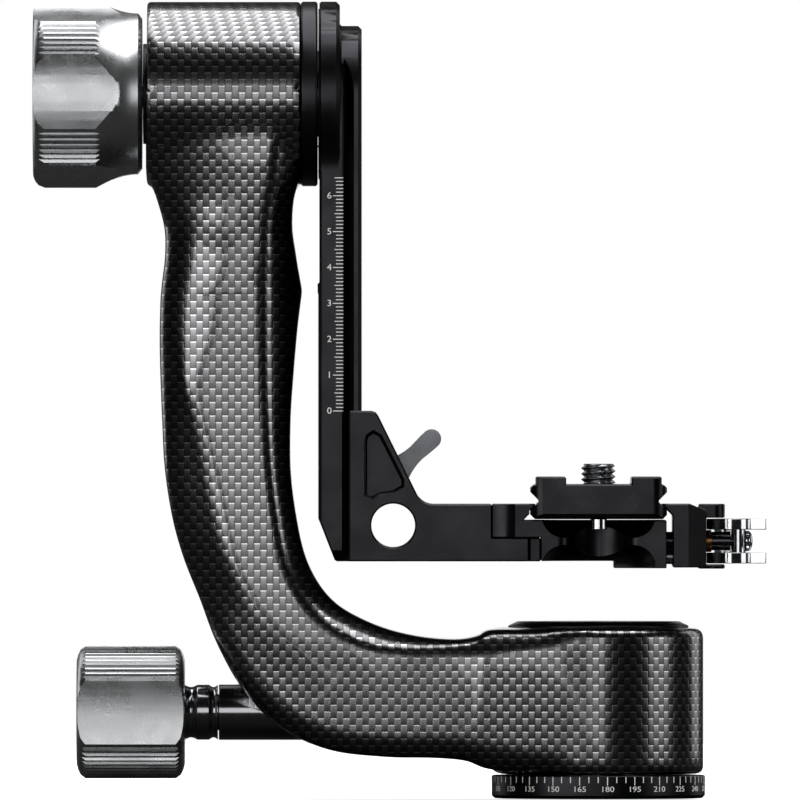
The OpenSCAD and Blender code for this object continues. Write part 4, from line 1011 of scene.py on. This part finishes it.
@dataclass
class MetalWork:
    """The turned and milled pieces, kept at their CAD shape with worked edges."""

    finishes: Finishes

    def pieces(self) -> list[Work]:
        """Lists the pieces that get worked edges.

        Returns:
            One a piece.
        """
        black, steel = "black_anodised", "black_steel"
        return [
            Work("pan_base", "base", "black", black),
            Work("pan_cap", "arm", "black", black),
            Work("pan_lock_sleeve", "arm", "dark_polish", black),
            Work("tilt_flange", "arm", "black", black),
            Work("pan_lock_screw", "pan_knob", "dark_polish", steel),
            Work("pan_knob", "pan_knob", "silver", "silver_anodised"),
            Work("swing_arm", "swing", "black", black, Fit.CRISP, 0.5),
            Work("tilt_thrust_washer", "tilt_washer", "polymer", "black_polymer"),
            Work("tilt_knob", "tilt_knob", "silver", "silver_anodised"),
            Work("cradle_bracket", "cradle", "black", black, Fit.CRISP, 0.45),
            Work("clamp_body", "cradle", "black", black, Fit.CRISP, 0.25),
            Work("rail_jaw", "rail_jaw", "black", black, Fit.CRISP, 0.3),
            Work("height_lever", "height_lever", "grey", "grey_anodised", Fit.SOFT),
            Work("height_lever_cap", "height_lever", "black_steel", steel, Fit.CRISP),
            Work("qr_jaw", "qr_jaw", "black", black, Fit.CRISP, 0.3),
            Work("qr_lever", "qr_lever", "chrome", "chrome", Fit.SOFT),
            Work("camera_plate", "plate", "black_fine", black, Fit.CRISP, 0.4),
            Work("plate_stop_screws", "plate", "chrome", "chrome", Fit.CRISP),
            Work("qr_barrel_pin", "cradle", "chrome", "chrome", Fit.CRISP),
            Work("qr_dome_nut", "cradle", "chrome", "chrome", Fit.CRISP),
        ]

    def kept(self) -> dict[str, str]:
        """Lists the small and hidden nodes that only get a finish.

        Returns:
            Finish to the names of its nodes.
        """
        return {
            "steel": "pan_spindle thread_insert spindle_nut camera_screw_clip",
            "steel_x": "pan_push_rod tilt_shaft tilt_race_sleeve tilt_race_spacer shaft_ring_nut "
            "rail_stop_pin rail_clamp_stud rail_jaw_pins qr_guide_pins",
            "black_steel": "base_screws flange_screws shaft_screws clamp_screws qr_draw_bolt",
            "bearing": "pan_inner_races pan_outer_races pan_balls "
            "tilt_inner_races tilt_outer_races tilt_balls",
            "brass": "pan_brake_shoe tilt_knob_insert qr_cam_washer",
            "polymer": "tilt_friction_washer",
        }

    def build(self) -> None:
        """Makes and dresses the pieces."""
        for work in self.pieces():
            piece = edged_copy(work.node, work.fit.value, work.chamfer)
            dress(piece, getattr(self.finishes, work.finish))
            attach(piece, work.body)
            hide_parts(work.node)
            LOG.info("piece %s", piece.name)
        for finish, nodes in self.kept().items():
            for node in nodes.split():
                dress(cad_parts[node], getattr(self.finishes, finish))


@dataclass
class CameraThread:
    """The camera screw with its 3/8 inch-16 thread cut as one helical groove."""

    crest: float = 4.76
    root: float = 3.85
    pitch: float = 1.5875
    bottom: float = 87.4
    top: float = 95.0
    steps: int = 40
    overcut: float = 0.08
    half_share: float = 0.44
    crease: float = 30.0

    def groove(self) -> bpy.types.Object:
        """Makes the groove's solid: a three-sided bar wound round the screw.

        Returns:
            The closed bar.
        """
        count = int((self.top - self.bottom) / self.pitch * self.steps)
        outer = self.crest + self.overcut
        half = self.pitch * self.half_share * (outer - self.root) / (self.crest - self.root)
        points = []
        for k in range(count + 1):
            turn = 2 * math.pi * k / self.steps
            z = self.bottom + self.pitch * k / self.steps
            for r, dz in ((self.root, 0.0), (outer, half), (outer, -half)):
                points.append((r * math.cos(turn), r * math.sin(turn), z + dz))
        faces = [(0, 2, 1), (3 * count, 3 * count + 1, 3 * count + 2)]
        for k, i in product(range(count), range(3)):
            a, b = 3 * k + i, 3 * k + (i + 1) % 3
            faces.append((a, b, b + 3, a + 3))
        piece = mesh_piece("thread_groove", points, faces)
        face_outwards(piece)
        return piece

    def build(self, finishes: Finishes) -> bpy.types.Object:
        """Cuts and dresses the screw.

        Args:
            finishes: the head's materials.

        Returns:
            The screw.
        """
        piece = edged_copy("camera_screw", Fit.CRISP.value)
        groove = self.groove()
        add_modifier(piece, "BOOLEAN", object=groove, operation="DIFFERENCE", solver="MANIFOLD")
        bpy.data.objects.remove(groove)
        smooth_by_angle(piece, self.crease)
        dress(piece, finishes.steel)
        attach(piece, "camera_screw")
        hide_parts("camera_screw")
        return piece


# Scales


def join(pieces: list[bpy.types.Object], name: str) -> bpy.types.Object:
    """Joins pieces into one.

    Args:
        pieces: the objects to join.
        name: the result's name.

    Returns:
        The joined piece.
    """
    clear_selection()
    for piece in pieces:
        piece.select_set(True)
    bpy.context.view_layer.objects.active = pieces[0]
    bpy.ops.object.join()
    result = bpy.context.object
    result.name = name
    return result


@dataclass(frozen=True)
class Figures:
    """Raised figures of a scale: height and thickness in millimetres, and width against plain ones."""

    height: float
    wide: float
    half_thick: float = 0.05
    height_share: float = 0.7
    curve_steps: int = 4

    def number(self, word: str, at: Point, turn: float) -> bpy.types.Object:
        """Makes a number that faces -Y before it is turned about Z.

        Args:
            word: the number.
            at: its middle in millimetres.
            turn: the turn about Z in degrees.

        Returns:
            The number as a mesh.
        """
        clear_selection()
        bpy.ops.object.text_add()
        text = bpy.context.object
        text.data.body = word
        text.data.align_x = "CENTER"
        text.data.align_y = "CENTER"
        text.data.size = self.height * MM / self.height_share
        text.data.extrude = self.half_thick * MM
        text.data.resolution_u = self.curve_steps
        bpy.ops.object.convert(target="MESH")
        text = bpy.context.object
        text.rotation_euler = (math.pi / 2, 0, math.radians(turn))
        text.location = Vector(at) * MM
        text.scale = (self.wide, 1, 1)
        bpy.ops.object.transform_apply(location=True, rotation=True, scale=True)
        return text


@dataclass
class HeightScale:
    """White marks on the swing arm's edge: a tick each millimetre, longer at five, numbered at ten."""

    face_y: float = -19.0
    right_x: float = -71.2
    zero_z: float = 108.15
    inset: float = 0.05
    longest: float = 2.85
    half: float = 2.4
    short: float = 2.0
    thick: float = 0.24
    proud: float = 0.04
    sunk: float = 0.1
    last: int = 65
    figures: Figures = Figures(1.76, 1.1)
    figure_inset: float = 3.9

    def build(self, finishes: Finishes) -> bpy.types.Object:
        """Makes the scale.

        Args:
            finishes: the head's materials.

        Returns:
            The marks as one piece.
        """
        points, faces, numbers = [], [], []
        right, front = self.right_x - self.inset, self.face_y - self.proud
        depths = (front, self.face_y + self.sunk)
        for mark in range(self.last + 1):
            length = self.longest if mark % 10 == 0 else self.half if mark % 5 == 0 else self.short
            z = self.zero_z + mark
            heights = (z - self.thick / 2, z + self.thick / 2)
            add_box(points, faces, product((right - length, right), depths, heights))
        ticks = mesh_piece("height_scale_ticks", points, faces)
        for k in range(self.last // 10 + 1):
            at = (self.right_x - self.figure_inset, front, self.zero_z + 10 * k)
            numbers.append(self.figures.number(str(k), at, 0.0))
        piece = join([ticks] + numbers, "height_scale")
        dress(piece, finishes.white)
        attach(piece, "swing")
        return piece


@dataclass
class DegreeRing:
    """White marks round the foot: a tick each five degrees, longer and numbered at fifteen."""

    radius: float = 29.8
    top_z: float = 6.2
    offset: float = 4.6
    middle: int = 180
    step: int = 5
    numbered: int = 15
    long: float = 2.35
    short: float = 1.7
    thick: float = 0.26
    proud: float = 0.03
    sunk: float = 0.1
    figures: Figures = Figures(1.5, 1.22)
    figure_sunk: float = 0.02
    figure_drop: float = 1.15

    def build(self, finishes: Finishes) -> bpy.types.Object:
        """Makes the ring of marks.

        Args:
            finishes: the head's materials.

        Returns:
            The marks as one piece.
        """
        points, faces, numbers = [], [], []
        half = self.thick / 2 / self.radius
        radii = (self.radius - self.sunk, self.radius + self.proud)
        for value in range(0, 360, self.step):
            turn = math.radians(self.offset + value - self.middle)
            length = self.short if value % self.numbered else self.long
            spans = product((turn - half, turn + half), radii, (self.top_z - length, self.top_z))
            add_box(points, faces, [(r * math.sin(a), -r * math.cos(a), z) for a, r, z in spans])
            if value % self.numbered == 0:
                r = self.radius - self.figure_sunk
                at = (r * math.sin(turn), -r * math.cos(turn), self.top_z - length - self.figure_drop)
                numbers.append(self.figures.number(str(value), at, math.degrees(turn)))
        ticks = mesh_piece("degree_ticks", points, faces)
        piece = join([ticks] + numbers, "degree_marks")
        dress(piece, finishes.white)
        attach(piece, "base")
        return piece


# Studio


@dataclass(frozen=True)
class SoftBox:
    """A soft box round the head: bearing in degrees, distance and size in metres, and level.

    A level of 1 is the background's white.
    """

    name: str
    turn: float
    rise: float
    far: float
    size: Span
    level: float


@dataclass
class Studio:
    """A pale table in a white room, soft boxes round the head, black flags, a glowing card seen only in
    reflections and a long lens.
    """

    middle: Point = (-55.4, 0.0, 111.2)
    field_mm: float = 223.5
    lens: float = 1500.0
    sensor: float = 36.0
    sight: float = 50.0
    table: tuple[Point, Point] = ((-5000.0, -4000.0, -0.4), (5000.0, 1500.0, -0.4))
    table_glow: float = 0.75
    room_light: float = 0.3
    card_glow: float = 1.3
    top_at: Point = (0.0, 0.06, 1.2)
    top_size: Span = (1.6, 0.92)
    top_level: float = 2.9

    def camera(self) -> None:
        """Sets the camera on the photograph's line of sight."""
        data = bpy.data.cameras.new("camera")
        data.lens = self.lens
        data.sensor_width = self.sensor
        data.clip_end = self.sight
        camera = add_object("camera", data)
        distance = self.field_mm * self.lens / self.sensor
        camera.location = (self.middle[0] * MM, -distance * MM, self.middle[2] * MM)
        camera.rotation_euler = (math.pi / 2, 0, 0)
        bpy.context.scene.camera = camera

    def sheet(
        self, name: str, start: Point, end: Point, material: bpy.types.Material
    ) -> bpy.types.Object:
        """Lays or stands a flat sheet square to one axis.

        Args:
            name: the sheet's name.
            start: its first corner in millimetres.
            end: the opposite corner.
            material: its finish.

        Returns:
            The sheet.
        """
        across, up = (k for k in range(3) if start[k] != end[k])
        corners = []
        for a, b in ((start, start), (end, start), (end, end), (start, end)):
            corner = list(start)
            corner[across], corner[up] = a[across], b[up]
            corners.append(tuple(corner))
        piece = mesh_piece(name, corners, [(0, 1, 2, 3)])
        dress(piece, material)
        return piece

    def floor(self) -> None:
        """Lays a pale table whose far edge meets the white room."""
        paper, tree, shader = new_material("pale_paper")
        shader.inputs["Base Color"].default_value = linear("#f2f2f2")
        shader.inputs["Roughness"].default_value = 0.9
        shader.inputs["Specular IOR Level"].default_value = 0.1
        shader.inputs["Emission Color"].default_value = (1, 1, 1, 1)
        glow = {0: self.mirrored(tree), 1: self.table_glow}
        seen = add_node(tree, "ShaderNodeMath", glow, operation="MULTIPLY")
        tree.links.new(seen.outputs[0], shader.inputs["Emission Strength"])
        table = self.sheet("table", *self.table, paper)

    def mirrored(self, tree: bpy.types.NodeTree) -> bpy.types.NodeSocket:
        """Adds nodes that give 1 where a surface is seen, mirrored or seen through glass.

        Args:
            tree: the material's or world's node tree.

        Returns:
            The result's socket.
        """
        path = add_node(tree, "ShaderNodeLightPath")
        seen = path.outputs["Is Camera Ray"]
        for other in ("Is Glossy Ray", "Is Transmission Ray"):
            either = {0: seen, 1: path.outputs[other]}
            seen = add_node(tree, "ShaderNodeMath", either, operation="MAXIMUM").outputs[0]
        return seen

    def world(self) -> None:
        """Fills the room with pale light, white where it is seen or mirrored."""
        world = bpy.data.worlds.new("studio")
        bpy.context.scene.world = world
        world.use_nodes = True
        tree = world.node_tree
        background = tree.nodes["Background"]
        background.inputs["Color"].default_value = (1, 1, 1, 1)
        levels = {"Value": self.mirrored(tree), "To Min": self.room_light, "To Max": 1.0}
        level = add_node(tree, "ShaderNodeMapRange", levels)
        tree.links.new(level.outputs["Result"], background.inputs["Strength"])

    def reflected(self, name: str, start: Point, end: Point, material: bpy.types.Material) -> None:
        """Stands a sheet that only reflections see, with its corners in metres.

        Args:
            name: the sheet's name.
            start: its first corner.
            end: the opposite corner.
            material: its black cloth or glowing white paper.
        """
        first, last = (tuple(value / MM for value in corner) for corner in (start, end))
        piece = self.sheet(name, first, last, material)
        piece.visible_camera = False
        piece.visible_diffuse = False
        piece.visible_shadow = False

    def flags(self) -> None:
        """Closes the room with black cloth, but for a gap behind the head."""
        cloth, _, shader = new_material("black_flag_cloth")
        shader.inputs["Base Color"].default_value = linear("#2e2e2e")
        shader.inputs["Roughness"].default_value = 1.0
        shader.inputs["Specular IOR Level"].default_value = 0.0
        w, near, far, low, high = 2.6, -2.6, 0.9, -0.0002, 2.6
        left, right, lift = -0.2, 0.12, 0.26
        walls = {
            "flag_front": ((-w, near, low), (w, near, high)),
            "flag_left": ((-w, near, low), (-w, far, high)),
            "flag_right": ((w, near, low), (w, far, high)),
            "flag_top": ((-w, near, high), (w, far, high)),
            "flag_below": ((-w, near, low), (w, far, low)),
            "flag_back_left": ((-w, far, low), (left, far, high)),
            "flag_back_right": ((right, far, low), (w, far, high)),
            "flag_back_top": ((left, far, lift), (right, far, high)),
        }
        for name, (start, end) in walls.items():
            self.reflected(name, start, end, cloth)

    def card(self) -> None:
        """Lays a glowing card on the table in front of the head, which only reflections see: a painted
        reflection on the head's faces that look towards it.
        """
        # the card glows and only reflections see it: a painted reflection, not a lamp that lights the head
        paper, _, shader = new_material("glowing_reflection_card")
        shader.inputs["Emission Color"].default_value = (1, 1, 1, 1)
        shader.inputs["Emission Strength"].default_value = self.card_glow
        left, right, near, far, lift = -0.4, 0.2, -1.78, -1.3, 0.0002
        self.reflected("reflection_only_glowing_card", (left, near, lift), (right, far, lift), paper)

    def hang(self, name: str, at: Vector, size: Span, level: float) -> None:
        """Hangs a soft box that looks at the head.

        Args:
            name: the lamp's name.
            at: its place in metres.
            size: its width and height in metres.
            level: how bright its face is, where 1 is the background's white.
        """
        data = bpy.data.lights.new(name, "AREA")
        data.shape = "RECTANGLE"
        data.size, data.size_y = size
        data.energy = level * math.pi * size[0] * size[1]
        lamp = add_object(name, data)
        lamp.location = at
        aim = Vector(self.middle) * MM - at
        lamp.rotation_euler = aim.to_track_quat("-Z", "Y").to_euler()
        lamp.visible_camera = False

    def place(self, box: SoftBox) -> Vector:
        """Place of a soft box, at its bearing from the head's middle.

        Args:
            box: the soft box; a turn to the right of the camera and a rise above it are positive.

        Returns:
            The point in metres.
        """
        a, e = math.radians(box.turn), math.radians(box.rise)
        way = Vector((math.sin(a) * math.cos(e), -math.cos(a) * math.cos(e), math.sin(e)))
        return Vector(self.middle) * MM + way * box.far

    def lamps(self) -> None:
        """Hangs the soft box above the head and those round it."""
        boxes = [
            SoftBox("soft_box_left", -37, -3, 1.6, (1.3, 0.95), 2.15),
            SoftBox("soft_box_front", 0.8, 4.5, 1.7, (0.46, 0.62), 1.5),
            SoftBox("soft_box_right", 71, 2, 1.6, (0.7, 0.8), 1.3),
            SoftBox("soft_box_back_left", -140, 14, 1.1, (0.7, 0.8), 0.8),
            SoftBox("soft_box_back_right", 140, 14, 1.1, (0.7, 0.8), 0.8),
        ]
        self.hang("soft_box_top", Vector(self.top_at), self.top_size, self.top_level)
        for box in boxes:
            self.hang(box.name, self.place(box), box.size, box.level)

    def build(self) -> None:
        """Sets up the whole studio."""
        self.camera()
        self.floor()
        self.world()
        self.flags()
        self.card()
        self.lamps()
        bpy.context.scene.view_settings.view_transform = "Standard"


def main() -> None:
    """Builds the head and its studio in order."""
    logging.basicConfig(level=logging.INFO, format="%(message)s")
    Studio().build()
    finishes = Finishes()
    MetalWork(finishes).build()
    LOG.info("piece %s", SculptedArm().build(finishes).name)
    LOG.info("piece %s", CameraThread().build(finishes).name)
    LOG.info("piece %s", HeightScale().build(finishes).name)
    LOG.info("piece %s", DegreeRing().build(finishes).name)


if __name__ == "__main__":
    main()
